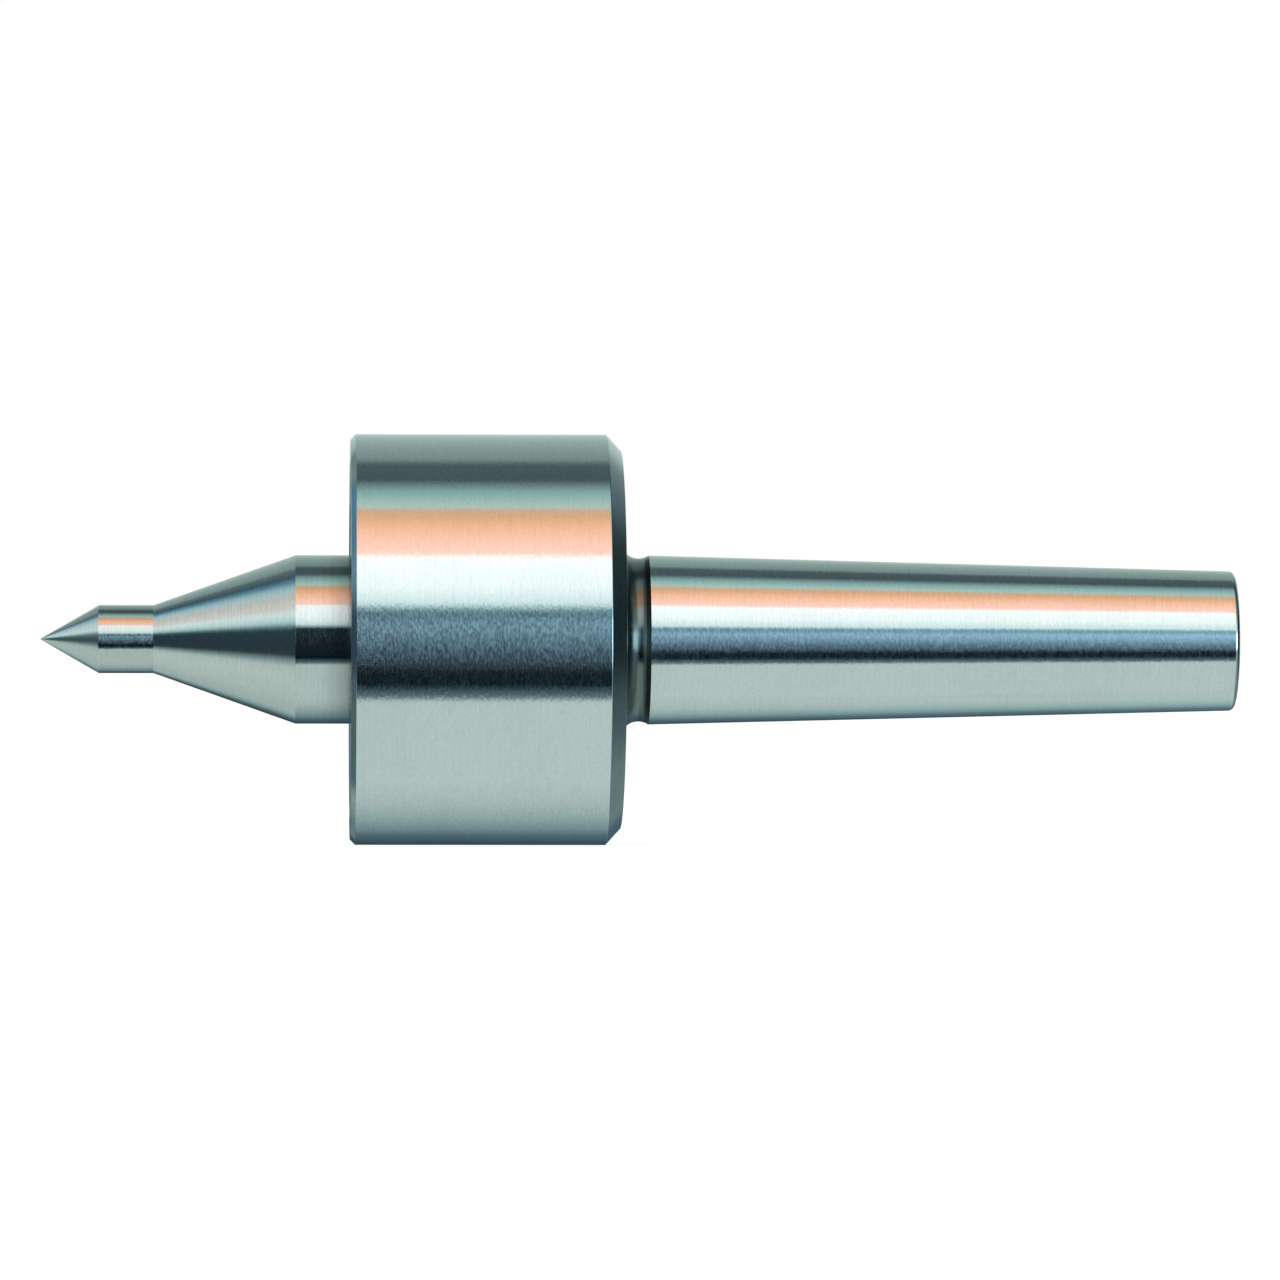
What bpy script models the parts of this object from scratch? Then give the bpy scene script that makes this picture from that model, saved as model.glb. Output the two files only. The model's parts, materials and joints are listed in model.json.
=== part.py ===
"""Live centre for a lathe tailstock: Morse taper shank No. 3, cylindrical bearing head, extended point.

Metres, +Z up. X is the axis of rotation. The origin is the centre of the taper's gauge plane, +X runs to the
shank's small end and -X to the tip of the 60 degree point. Every piece of the centre is an object of its own,
parented to an empty for the rigid group that it turns with.
"""

import math

import bmesh
import bpy
from mathutils import Matrix, Vector

MM = 0.001

# Driving dimensions of the outside
GAUGE_DIAMETER = 23.825 * MM  # Morse taper No. 3 at its gauge plane
TAPER_RATE = 1 / 19.922  # diameter lost for each unit of length
SHANK_LENGTH = 81.5 * MM  # gauge plane to tail face
SHOULDER_GAP = 5.5 * MM  # back face of the head to gauge plane
HEAD_DIAMETER = 58.0 * MM
HEAD_LENGTH = 38.2 * MM
FRONT_CHAMFER = 0.75 * MM
BACK_CHAMFER = 2.3 * MM
TAIL_CHAMFER = 0.5 * MM
RELIEF_RADIUS = 2.55 * MM  # round grinding relief between head and taper
RELIEF_DEPTH = 0.42 * MM  # below the taper's surface
RELIEF_LIP = 1.45 * MM  # where the taper starts, ahead of the gauge plane
RELIEF_END = 300  # degrees, where the relief's arc leaves its circle
STEM_DIAMETER = 23.8 * MM
STEM_PROJECTION = 7.7 * MM  # cylinder that shows in front of the head
CONE_LENGTH = 20.0 * MM
NOSE_DIAMETER = 9.6 * MM
NOSE_LENGTH = 7.7 * MM
POINT_HALF_ANGLE = math.radians(30)
TIP_FLAT_RADIUS = 0.06 * MM
CENTRE_HOLE_RADIUS = 4.0 * MM  # 60 degree centre hole in the tail face
CENTRE_DRILL_RADIUS = 1.6 * MM
CENTRE_DRILL_DEPTH = 2.4 * MM
DRILL_POINT_SLOPE = math.tan(math.radians(31))  # a drilled hole's end, for each unit of its radius
SPINDLE_END_CHAMFER = 0.8 * MM

# Gaps
FIT = 0.1 * MM  # between pieces that rest on each other
ROLL = 0.15 * MM  # between a rolling element and its race
CAP_SEAT_GAP = 0.5 * MM  # between the cap and the step behind it
NEEDLE_RING_GAP = 0.3 * MM  # in front of the needle ring
NEEDLE_END_GAP = 0.5 * MM  # behind the needle ring
SPINDLE_END_GAP = 1.5 * MM  # behind the spindle
THRUST_JOURNAL_GAP = 0.7 * MM  # from the thrust journal's end to the pocket's floor
HOUSING_WASHER_GAP = 0.8 * MM  # round the journal, inside the washer that stands still
SHIM_GAP = 1.1 * MM
END_BORE_GAP = 0.9 * MM  # round the needle journal's end

# Rear needle bearing, 10 x 17 x 12 mm
NEEDLE_JOURNAL_RADIUS = 5.0 * MM
NEEDLE_RADIUS = 0.95 * MM
NEEDLE_LENGTH = 6.3 * MM
NEEDLE_COUNT = 12
NEEDLE_RING_RADIUS = 8.45 * MM
NEEDLE_RING_WIDTH = 12.0 * MM
NEEDLE_LIP_RADIUS = 5.9 * MM
NEEDLE_LIP_WIDTH = 1.2 * MM
NEEDLE_RING_CHAMFER = 0.4 * MM
NEEDLE_OVERHANG = 1.9 * MM  # of the spindle behind the needle ring's seat
NEEDLE_SIDES = 8
NEEDLE_CAGE_RADII = (5.45 * MM, 6.75 * MM)
NEEDLE_CAGE_WIDTH = 8.8 * MM
NEEDLE_WINDOW = (6.7 * MM, 2.25 * MM)  # along the axis, and across

# Thrust ball bearing, 17 x 30 x 9 mm
THRUST_BORE_RADIUS = 8.5 * MM
THRUST_OUTER_RADIUS = 15.0 * MM
THRUST_WIDTH = 9.0 * MM
THRUST_WASHER = 3.0 * MM
THRUST_BALL_RADIUS = 2.38 * MM
THRUST_BALL_COUNT = 12
THRUST_CAGE_RADII = (9.3 * MM, 14.4 * MM)
THRUST_CAGE_WIDTH = 1.8 * MM
THRUST_GROOVE_STEPS = 4
THRUST_BALL_GRID = (10, 6)  # divisions round and from pole to pole
SHIM_THICKNESS = 0.4 * MM
BACK_WALL = 3.7 * MM

# Front ball bearing, 20 x 47 x 14 mm
JOURNAL_RADIUS = 10.0 * MM
BALL_BEARING_RADIUS = 23.5 * MM
BALL_BEARING_WIDTH = 14.0 * MM
BALL_PITCH_RADIUS = 16.75 * MM
BALL_RADIUS = 3.97 * MM
BALL_COUNT = 8
INNER_LAND_RADIUS = 13.6 * MM
OUTER_LAND_RADIUS = 19.9 * MM
RING_CHAMFER = 0.8 * MM
BALL_CAGE_RADII = (15.4 * MM, 18.1 * MM)
BALL_CAGE_WIDTH = 10.4 * MM
BALL_POCKET_GAP = 0.25 * MM
BALL_POCKET_SIDES = 16
BALL_GRID = (12, 8)
CIRCLIP_THICKNESS = 1.1 * MM
CIRCLIP_RADII = (9.45 * MM, 12.0 * MM)
CIRCLIP_EAR = 1.3 * MM
CIRCLIP_SETBACK = 1.6 * MM  # from the thrust shoulder to the middle of the groove
CIRCLIP_GROOVE_RADIUS = 9.3 * MM
CIRCLIP_SIDE_PLAY = 0.05 * MM
CIRCLIP_OPENING = math.radians(34)
CIRCLIP_STEPS = 22
WAVE_RADII = (20.4 * MM, 23.2 * MM)
WAVE_THICKNESS = 0.35 * MM
WAVE_HEIGHT = 0.22 * MM
WAVE_COUNT = 3
WAVE_SPACE = 1.2 * MM

# Front cap, screwed into the head, and the shaft seal inside it
CAP_BORE_RADIUS = 25.0 * MM
CAP_RADIUS = 24.8 * MM
CAP_RECESS = 0.2 * MM
CAP_CHAMFER = 0.4 * MM
CAP_WEB = 1.6 * MM
CAP_STEM_GAP = 0.3 * MM
ORING_RADIUS = 0.85 * MM
ORING_GROOVE = (1.0 * MM, 3.2 * MM)  # from the cap's front face
ORING_GROOVE_RADIUS = 23.1 * MM
SPANNER_HOLE_RADIUS = 1.6 * MM
SPANNER_HOLE_DEPTH = 3.5 * MM
SPANNER_PITCH_RADIUS = 20.3 * MM
SPANNER_HOLE_COUNT = 4
DRILLED_SIDES = 12
SEAL_RADIUS = 17.5 * MM
SEAL_WIDTH = 5.0 * MM
SEAL_WALL = 0.8 * MM
SEAL_WINDOW_RADIUS = 13.8 * MM
GARTER_RADII = (13.75 * MM, 0.6 * MM)  # ring, and wire section
GARTER_X = 3.55 * MM  # from the seal's front
GARTER_SEAT = 0.3 * MM  # half the flat that the garter spring rests on
LIP_FLANGE = 0.7 * MM
LIP_FLANGE_GAP = 0.6 * MM
LIP_FRONT = 0.1 * MM
LIP_BACK = 4.6 * MM
LIP_THROAT = (1.0 * MM, 2.6 * MM, 0.65 * MM)  # from, to, and height above the lip's edges
LIP_NECK = (2.0 * MM, 2.4 * MM, 0.2 * MM)  # from, to, and depth below the root
LIP_TIP_RISE = 0.5 * MM
LIP_BACK_DROP = 0.25 * MM

# Segments round the axis
VISIBLE_SEGMENTS = 60
RACE_SEGMENTS = 36
SMALL_SEGMENTS = 32
GROOVE_STEPS = 6

# Places along the axis, worked out from the dimensions above
HEAD_RADIUS = HEAD_DIAMETER / 2
STEM_RADIUS = STEM_DIAMETER / 2
NOSE_RADIUS = NOSE_DIAMETER / 2
SHOULDER_X = -SHOULDER_GAP
FRONT_X = SHOULDER_X - HEAD_LENGTH
TAIL_X = SHANK_LENGTH
STEM_FRONT_X = FRONT_X - STEM_PROJECTION
NOSE_BACK_X = STEM_FRONT_X - CONE_LENGTH
NOSE_FRONT_X = NOSE_BACK_X - NOSE_LENGTH
TIP_X = NOSE_FRONT_X - NOSE_RADIUS / math.tan(POINT_HALF_ANGLE)
POCKET_FLOOR_X = SHOULDER_X - BACK_WALL
SHIM_X = POCKET_FLOOR_X - FIT - SHIM_THICKNESS / 2
THRUST_BACK_X = SHIM_X - SHIM_THICKNESS / 2 - FIT
THRUST_X = THRUST_BACK_X - THRUST_WIDTH / 2
THRUST_SHOULDER_X = THRUST_X - THRUST_WIDTH / 2 - FIT
CIRCLIP_X = THRUST_SHOULDER_X - CIRCLIP_SETBACK
BALL_SEAT_X = CIRCLIP_X - CIRCLIP_THICKNESS / 2
BALL_BEARING_X = BALL_SEAT_X - FIT - BALL_BEARING_WIDTH / 2
BALL_FRONT_X = BALL_BEARING_X - BALL_BEARING_WIDTH / 2
WAVE_X = BALL_FRONT_X - WAVE_SPACE / 2
CAP_X = FRONT_X + CAP_RECESS
CAP_LENGTH = BALL_FRONT_X - WAVE_SPACE - CAP_X
CAP_SEAT_X = CAP_X + CAP_LENGTH + CAP_SEAT_GAP
SEAL_X = CAP_X + CAP_WEB + FIT
NEEDLE_X = POCKET_FLOOR_X + NEEDLE_RING_GAP + NEEDLE_RING_WIDTH / 2
NEEDLE_SEAT_END_X = NEEDLE_X + NEEDLE_RING_WIDTH / 2 + NEEDLE_END_GAP
NEEDLE_PITCH_RADIUS = NEEDLE_JOURNAL_RADIUS + NEEDLE_RADIUS + FIT
SPINDLE_END_X = NEEDLE_SEAT_END_X + NEEDLE_OVERHANG
THRUST_PITCH_RADIUS = (THRUST_BORE_RADIUS + THRUST_OUTER_RADIUS) / 2

MATERIALS = {
    # name: (colour, metallic, roughness)
    "ground_steel": ((0.62, 0.63, 0.63, 1), 1.0, 0.25),
    "hardened_steel": ((0.60, 0.61, 0.62, 1), 1.0, 0.22),
    "bearing_steel": ((0.66, 0.66, 0.67, 1), 1.0, 0.10),
    "spring_steel": ((0.36, 0.37, 0.40, 1), 1.0, 0.30),
    "brass": ((0.72, 0.55, 0.28, 1), 1.0, 0.30),
    "seal_case": ((0.20, 0.21, 0.22, 1), 1.0, 0.40),
    "rubber": ((0.03, 0.03, 0.03, 1), 0.0, 0.60),
}


def clear_scene():
    for obj in list(bpy.data.objects):
        bpy.data.objects.remove(obj, do_unlink=True)


def make_materials():
    for name, (colour, metallic, roughness) in MATERIALS.items():
        material = bpy.data.materials.new(name)
        material.use_nodes = True
        shader = material.node_tree.nodes["Principled BSDF"]
        shader.inputs["Base Color"].default_value = colour
        shader.inputs["Metallic"].default_value = metallic
        shader.inputs["Roughness"].default_value = roughness


def make_group(name, x):
    """An empty on the axis, which the pieces of one rigid group are parented to."""
    empty = bpy.data.objects.new(name, None)
    empty.location = (x, 0, 0)
    bpy.context.scene.collection.objects.link(empty)
    return empty


def add_object(name, bm, material, group, location):
    """A named piece from a bmesh, at a place given in the world and parented to its group."""
    bmesh.ops.remove_doubles(bm, verts=bm.verts, dist=1e-7)
    bmesh.ops.recalc_face_normals(bm, faces=bm.faces)
    mesh = bpy.data.meshes.new(name)
    bm.to_mesh(mesh)
    bm.free()
    mesh.shade_smooth()
    mesh.set_sharp_from_angle(angle=math.radians(30))
    mesh.materials.append(bpy.data.materials[material])
    obj = bpy.data.objects.new(name, mesh)
    bpy.context.scene.collection.objects.link(obj)
    obj.parent = group
    obj.location = Vector(location) - group.location
    return obj


def turned(outline, segments, closed=True):
    """A bmesh turned about X from an outline of (x, radius) points.

    An open outline starts and ends on the axis.
    """
    bm = bmesh.new()
    verts = [bm.verts.new((x, 0, r)) for x, r in outline]
    edges = [bm.edges.new(pair) for pair in zip(verts, verts[1:])]
    if closed:
        edges.append(bm.edges.new((verts[-1], verts[0])))
    bmesh.ops.spin(
        bm,
        geom=verts + edges,
        cent=(0, 0, 0),
        axis=(1, 0, 0),
        angle=2 * math.pi,
        steps=segments,
        use_merge=True,
    )
    return bm


def ring(half_width, inner, outer):
    """The outline of a plain ring, centred on x = 0."""
    return [(-half_width, inner), (-half_width, outer), (half_width, outer), (half_width, inner)]


def arc(centre, radius, start, end, steps):
    """Points (x, r) on an arc between two angles in degrees, 0 towards +x and 90 away from the axis."""
    angles = [math.radians(start + (end - start) * i / steps) for i in range(steps + 1)]
    return [(centre[0] + radius * math.cos(a), centre[1] + radius * math.sin(a)) for a in angles]


def wire_section(x, ring_radius, wire_radius):
    """The six-sided section of a ring of round wire or rubber."""
    return arc((x, ring_radius), wire_radius, 0, 300, 5)


def on_circle(radius, count):
    """Places (angle, y, z) spaced evenly round the axis."""
    angles = [2 * math.pi * i / count for i in range(count)]
    return [(a, radius * math.cos(a), radius * math.sin(a)) for a in angles]


def add_cylinders(bm, radius, length, sides, matrices):
    """Cylinders along each matrix's own Z."""
    for matrix in matrices:
        bmesh.ops.create_cone(
            bm,
            cap_ends=True,
            segments=sides,
            radius1=radius,
            radius2=radius,
            depth=length,
            matrix=matrix,
        )


def add_ball(name, radius, grid, group, location):
    bm = bmesh.new()
    bmesh.ops.create_uvsphere(bm, u_segments=grid[0], v_segments=grid[1], radius=radius)
    add_object(name, bm, "bearing_steel", group, location)


def cut(obj, cutter):
    """Takes the cutter's shape out of the object, and keeps the cutter as a hidden helper."""
    cutter.hide_render = True
    cutter.display_type = "WIRE"
    modifier = obj.modifiers.new("cut", "BOOLEAN")
    modifier.operation = "DIFFERENCE"
    modifier.object = cutter


def taper_radius(x):
    return (GAUGE_DIAMETER - x * TAPER_RATE) / 2


def make_body_shank(group):
    """Head and taper shank in one piece, bored from the front for the cap and the three bearings."""
    relief_x = SHOULDER_X + RELIEF_RADIUS
    relief_floor = taper_radius(-RELIEF_LIP) - RELIEF_DEPTH
    relief_centre = (relief_x, relief_floor + RELIEF_RADIUS)
    relief = arc(relief_centre, RELIEF_RADIUS, 180, RELIEF_END, GROOVE_STEPS)
    countersink = (CENTRE_HOLE_RADIUS - CENTRE_DRILL_RADIUS) / math.tan(POINT_HALF_ANGLE)
    drill_end_x = TAIL_X - countersink - CENTRE_DRILL_DEPTH
    bore_end_x = SPINDLE_END_X + SPINDLE_END_GAP
    end_bore = NEEDLE_JOURNAL_RADIUS + END_BORE_GAP
    outline = [
        (drill_end_x - CENTRE_DRILL_RADIUS * DRILL_POINT_SLOPE, 0),
        (drill_end_x, CENTRE_DRILL_RADIUS),
        (TAIL_X - countersink, CENTRE_DRILL_RADIUS),
        (TAIL_X, CENTRE_HOLE_RADIUS),
        (TAIL_X, taper_radius(TAIL_X) - TAIL_CHAMFER),
        (TAIL_X - TAIL_CHAMFER, taper_radius(TAIL_X - TAIL_CHAMFER)),
        (-RELIEF_LIP, taper_radius(-RELIEF_LIP)),
        *reversed(relief),
        (SHOULDER_X, HEAD_RADIUS - BACK_CHAMFER),
        (SHOULDER_X - BACK_CHAMFER, HEAD_RADIUS),
        (FRONT_X + FRONT_CHAMFER, HEAD_RADIUS),
        (FRONT_X, HEAD_RADIUS - FRONT_CHAMFER),
        (FRONT_X, CAP_BORE_RADIUS + CAP_CHAMFER),
        (FRONT_X + CAP_CHAMFER, CAP_BORE_RADIUS),
        (CAP_SEAT_X, CAP_BORE_RADIUS),
        (CAP_SEAT_X, BALL_BEARING_RADIUS + FIT),
        (BALL_SEAT_X, BALL_BEARING_RADIUS + FIT),
        (BALL_SEAT_X, THRUST_OUTER_RADIUS + FIT),
        (POCKET_FLOOR_X, THRUST_OUTER_RADIUS + FIT),
        (POCKET_FLOOR_X, NEEDLE_RING_RADIUS + FIT),
        (NEEDLE_SEAT_END_X, NEEDLE_RING_RADIUS + FIT),
        (NEEDLE_SEAT_END_X, end_bore),
        (bore_end_x, end_bore),
        (bore_end_x + end_bore * DRILL_POINT_SLOPE, 0),
    ]
    bm = turned(outline, VISIBLE_SEGMENTS, closed=False)
    add_object("body_shank", bm, "ground_steel", group, (0, 0, 0))


def make_spindle(group):
    """Point, nose, cone, stem and the three journals behind it, ground from one bar."""
    groove_half = CIRCLIP_THICKNESS / 2 + CIRCLIP_SIDE_PLAY
    thrust_journal_end_x = POCKET_FLOOR_X - THRUST_JOURNAL_GAP
    tip_flat_x = TIP_X + TIP_FLAT_RADIUS / math.tan(POINT_HALF_ANGLE)
    outline = [
        (tip_flat_x, 0),
        (tip_flat_x, TIP_FLAT_RADIUS),
        (NOSE_FRONT_X, NOSE_RADIUS),
        (NOSE_BACK_X, NOSE_RADIUS),
        (STEM_FRONT_X, STEM_RADIUS),
        (BALL_FRONT_X - FIT, STEM_RADIUS),
        (BALL_FRONT_X - FIT, JOURNAL_RADIUS),
        (CIRCLIP_X - groove_half, JOURNAL_RADIUS),
        (CIRCLIP_X - groove_half, CIRCLIP_GROOVE_RADIUS),
        (CIRCLIP_X + groove_half, CIRCLIP_GROOVE_RADIUS),
        (CIRCLIP_X + groove_half, JOURNAL_RADIUS),
        (THRUST_SHOULDER_X, JOURNAL_RADIUS),
        (THRUST_SHOULDER_X, THRUST_BORE_RADIUS),
        (thrust_journal_end_x, THRUST_BORE_RADIUS),
        (thrust_journal_end_x, NEEDLE_JOURNAL_RADIUS),
        (SPINDLE_END_X - SPINDLE_END_CHAMFER, NEEDLE_JOURNAL_RADIUS),
        (SPINDLE_END_X, NEEDLE_JOURNAL_RADIUS - SPINDLE_END_CHAMFER),
        (SPINDLE_END_X, 0),
    ]
    bm = turned(outline, VISIBLE_SEGMENTS, closed=False)
    add_object("center_spindle", bm, "hardened_steel", group, (0, 0, 0))


def make_front_cap(group):
    """Threaded ring that holds the seal and the front bearing, with blind holes for a pin spanner."""
    bore = STEM_RADIUS + CAP_STEM_GAP
    pocket = SEAL_RADIUS + FIT
    groove_front, groove_back = ORING_GROOVE
    outline = [
        (0, bore),
        (0, CAP_RADIUS - CAP_CHAMFER),
        (CAP_CHAMFER, CAP_RADIUS),
        (groove_front, CAP_RADIUS),
        (groove_front, ORING_GROOVE_RADIUS),
        (groove_back, ORING_GROOVE_RADIUS),
        (groove_back, CAP_RADIUS),
        (CAP_LENGTH - CAP_CHAMFER, CAP_RADIUS),
        (CAP_LENGTH, CAP_RADIUS - CAP_CHAMFER),
        (CAP_LENGTH, pocket),
        (CAP_WEB, pocket),
        (CAP_WEB, bore),
    ]
    place = (CAP_X, 0, 0)
    cap = add_object("front_cap", turned(outline, VISIBLE_SEGMENTS), "ground_steel", group, place)
    holes = bmesh.new()
    along_x = Matrix.Rotation(math.pi / 2, 4, "Y")
    places = on_circle(SPANNER_PITCH_RADIUS, SPANNER_HOLE_COUNT)
    matrices = [Matrix.Translation((0, y, z)) @ along_x for _, y, z in places]
    add_cylinders(holes, SPANNER_HOLE_RADIUS, 2 * SPANNER_HOLE_DEPTH, DRILLED_SIDES, matrices)
    cut(cap, add_object("spanner_hole_cutter", holes, "ground_steel", group, place))
    o_ring_x = CAP_X + (groove_front + groove_back) / 2
    o_ring = turned(wire_section(0, ORING_GROOVE_RADIUS + FIT + ORING_RADIUS, ORING_RADIUS), SMALL_SEGMENTS)
    add_object("cap_o_ring", o_ring, "rubber", group, (o_ring_x, 0, 0))


def make_shaft_seal(group):
    """Lip seal in three pieces: pressed steel case, rubber lip and the garter spring round the lip."""
    place = (SEAL_X, 0, 0)
    case = [
        (0, SEAL_WINDOW_RADIUS),
        (0, SEAL_RADIUS - CAP_CHAMFER),
        (CAP_CHAMFER, SEAL_RADIUS),
        (SEAL_WIDTH, SEAL_RADIUS),
        (SEAL_WIDTH, SEAL_RADIUS - SEAL_WALL),
        (SEAL_WALL, SEAL_RADIUS - SEAL_WALL),
        (SEAL_WALL, SEAL_WINDOW_RADIUS),
    ]
    add_object("seal_case", turned(case, SMALL_SEGMENTS), "seal_case", group, place)
    contact = STEM_RADIUS + ROLL
    root = SEAL_WINDOW_RADIUS - ROLL
    spring_seat = GARTER_RADII[0] - GARTER_RADII[1] - FIT
    flange_front = SEAL_WALL + FIT
    flange_back = flange_front + LIP_FLANGE
    flange_radius = SEAL_RADIUS - SEAL_WALL - LIP_FLANGE_GAP
    throat_front, throat_back, throat_height = LIP_THROAT
    neck_front, neck_back, neck_depth = LIP_NECK
    lip = [
        (flange_front, flange_radius),
        (flange_front, root),
        (LIP_FRONT, root),
        (LIP_FRONT, contact),
        (throat_front, contact + throat_height),
        (throat_back, contact + throat_height),
        (GARTER_X, contact),
        (LIP_BACK, contact + LIP_TIP_RISE),
        (LIP_BACK, root - LIP_BACK_DROP),
        (GARTER_X + GARTER_SEAT, spring_seat),
        (GARTER_X - GARTER_SEAT, spring_seat),
        (neck_back, root - neck_depth),
        (neck_front, root),
        (flange_back, root + neck_depth),
        (flange_back, flange_radius),
    ]
    add_object("seal_lip", turned(lip, SMALL_SEGMENTS), "rubber", group, place)
    garter = turned(wire_section(GARTER_X, *GARTER_RADII), SMALL_SEGMENTS)
    add_object("seal_garter_spring", garter, "spring_steel", group, place)


def make_preload_washer(group):
    """Wave washer between the cap and the front bearing's outer ring."""
    bm = turned(ring(WAVE_THICKNESS / 2, *WAVE_RADII), RACE_SEGMENTS)
    for vert in bm.verts:
        turn = math.atan2(vert.co.y, vert.co.z)
        vert.co.x += WAVE_HEIGHT * math.cos(WAVE_COUNT * turn)
    add_object("preload_wave_washer", bm, "spring_steel", group, (WAVE_X, 0, 0))


def race_groove(land_radius, side):
    """Points across a ball groove, centred on the balls' pitch circle.

    side is 1 outside the balls and -1 inside.
    """
    radius = BALL_RADIUS + ROLL
    half_angle = math.degrees(math.acos(abs(land_radius - BALL_PITCH_RADIUS) / radius))
    middle = 90 * side
    return arc((0, BALL_PITCH_RADIUS), radius, middle - half_angle, middle + half_angle, GROOVE_STEPS)


def make_front_bearing(housing, spindle, balls):
    """Deep-groove ball bearing: outer ring, inner ring, cage and balls."""
    half = BALL_BEARING_WIDTH / 2
    place = (BALL_BEARING_X, 0, 0)
    outer = [
        (half, BALL_BEARING_RADIUS - RING_CHAMFER),
        (half - RING_CHAMFER, BALL_BEARING_RADIUS),
        (RING_CHAMFER - half, BALL_BEARING_RADIUS),
        (-half, BALL_BEARING_RADIUS - RING_CHAMFER),
        (-half, OUTER_LAND_RADIUS),
        *reversed(race_groove(OUTER_LAND_RADIUS, 1)),
        (half, OUTER_LAND_RADIUS),
    ]
    add_object("front_bearing_outer_ring", turned(outer, RACE_SEGMENTS), "bearing_steel", housing, place)
    bore = JOURNAL_RADIUS + FIT
    inner = [
        (half, bore + RING_CHAMFER),
        (half - RING_CHAMFER, bore),
        (RING_CHAMFER - half, bore),
        (-half, bore + RING_CHAMFER),
        (-half, INNER_LAND_RADIUS),
        *race_groove(INNER_LAND_RADIUS, -1),
        (half, INNER_LAND_RADIUS),
    ]
    add_object("front_bearing_inner_ring", turned(inner, RACE_SEGMENTS), "bearing_steel", spindle, place)
    cage_inner, cage_outer = BALL_CAGE_RADII
    blank = turned(ring(BALL_CAGE_WIDTH / 2, cage_inner, cage_outer), RACE_SEGMENTS)
    cage = add_object("front_bearing_cage", blank, "brass", balls, place)
    places = on_circle(BALL_PITCH_RADIUS, BALL_COUNT)
    matrices = [
        Matrix.Translation((0, y, z)) @ Matrix.Rotation(angle - math.pi / 2, 4, "X")
        for angle, y, z in places
    ]
    pockets = bmesh.new()
    pocket_radius = BALL_RADIUS + BALL_POCKET_GAP
    add_cylinders(pockets, pocket_radius, 2 * (cage_outer - cage_inner), BALL_POCKET_SIDES, matrices)
    cut(cage, add_object("ball_pocket_cutter", pockets, "brass", balls, place))
    for number, (_, y, z) in enumerate(places, 1):
        name = f"front_bearing_ball_{number:02d}"
        add_ball(name, BALL_RADIUS, BALL_GRID, balls, (BALL_BEARING_X, y, z))


def make_circlip(group):
    """Open retaining ring behind the inner ring, with an ear for the pliers at each end."""
    inner, outer = CIRCLIP_RADII
    first, last = CIRCLIP_OPENING / 2, 2 * math.pi - CIRCLIP_OPENING / 2
    angles = [first + (last - first) * i / CIRCLIP_STEPS for i in range(CIRCLIP_STEPS + 1)]
    ear_angles = (angles[0], angles[1], angles[-2], angles[-1])
    bm = bmesh.new()
    rim = []
    for angle in angles:
        radius = outer + (CIRCLIP_EAR if angle in ear_angles else 0)
        rim.append((radius * math.cos(angle), radius * math.sin(angle)))
    rim += [(inner * math.cos(a), inner * math.sin(a)) for a in reversed(angles)]
    face = bm.faces.new([bm.verts.new((-CIRCLIP_THICKNESS / 2, y, z)) for y, z in rim])
    extruded = bmesh.ops.extrude_face_region(bm, geom=[face])["geom"]
    moved = [item for item in extruded if isinstance(item, bmesh.types.BMVert)]
    bmesh.ops.translate(bm, verts=moved, vec=(CIRCLIP_THICKNESS, 0, 0))
    add_object("spindle_circlip", bm, "spring_steel", group, (CIRCLIP_X, 0, 0))


def make_thrust_washer(name, bore, outer_radius, side, group):
    """Grooved washer of the thrust bearing. side is -1 in front of the balls and 1 behind them."""
    back = THRUST_WIDTH / 2
    face = back - THRUST_WASHER
    radius = THRUST_BALL_RADIUS + ROLL
    half_angle = math.degrees(math.acos(face / radius))
    groove = arc((0, THRUST_PITCH_RADIUS), radius, half_angle, -half_angle, THRUST_GROOVE_STEPS)
    outline = [(face, outer_radius), *groove, (face, bore), (back, bore), (back, outer_radius)]
    bm = turned([(side * x, r) for x, r in outline], RACE_SEGMENTS)
    add_object(name, bm, "bearing_steel", group, (THRUST_X, 0, 0))


def make_thrust_bearing(housing, spindle, balls):
    """Single-direction thrust ball bearing and the shim behind it."""
    rim = THRUST_OUTER_RADIUS - FIT
    make_thrust_washer("thrust_shaft_washer", THRUST_BORE_RADIUS + FIT, rim, -1, spindle)
    housing_bore = THRUST_BORE_RADIUS + HOUSING_WASHER_GAP
    make_thrust_washer("thrust_housing_washer", housing_bore, THRUST_OUTER_RADIUS, 1, housing)
    place = (THRUST_X, 0, 0)
    blank = turned(ring(THRUST_CAGE_WIDTH / 2, *THRUST_CAGE_RADII), RACE_SEGMENTS)
    cage = add_object("thrust_cage", blank, "brass", balls, place)
    places = on_circle(THRUST_PITCH_RADIUS, THRUST_BALL_COUNT)
    along_x = Matrix.Rotation(math.pi / 2, 4, "Y")
    matrices = [Matrix.Translation((0, y, z)) @ along_x for _, y, z in places]
    pockets = bmesh.new()
    add_cylinders(pockets, THRUST_BALL_RADIUS + ROLL, 2 * THRUST_CAGE_WIDTH, DRILLED_SIDES, matrices)
    cut(cage, add_object("thrust_pocket_cutter", pockets, "brass", balls, place))
    for number, (_, y, z) in enumerate(places, 1):
        add_ball(f"thrust_ball_{number:02d}", THRUST_BALL_RADIUS, THRUST_BALL_GRID, balls, (THRUST_X, y, z))
    shim = turned(ring(SHIM_THICKNESS / 2, THRUST_BORE_RADIUS + SHIM_GAP, rim), RACE_SEGMENTS)
    add_object("adjusting_shim", shim, "spring_steel", housing, (SHIM_X, 0, 0))


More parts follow.
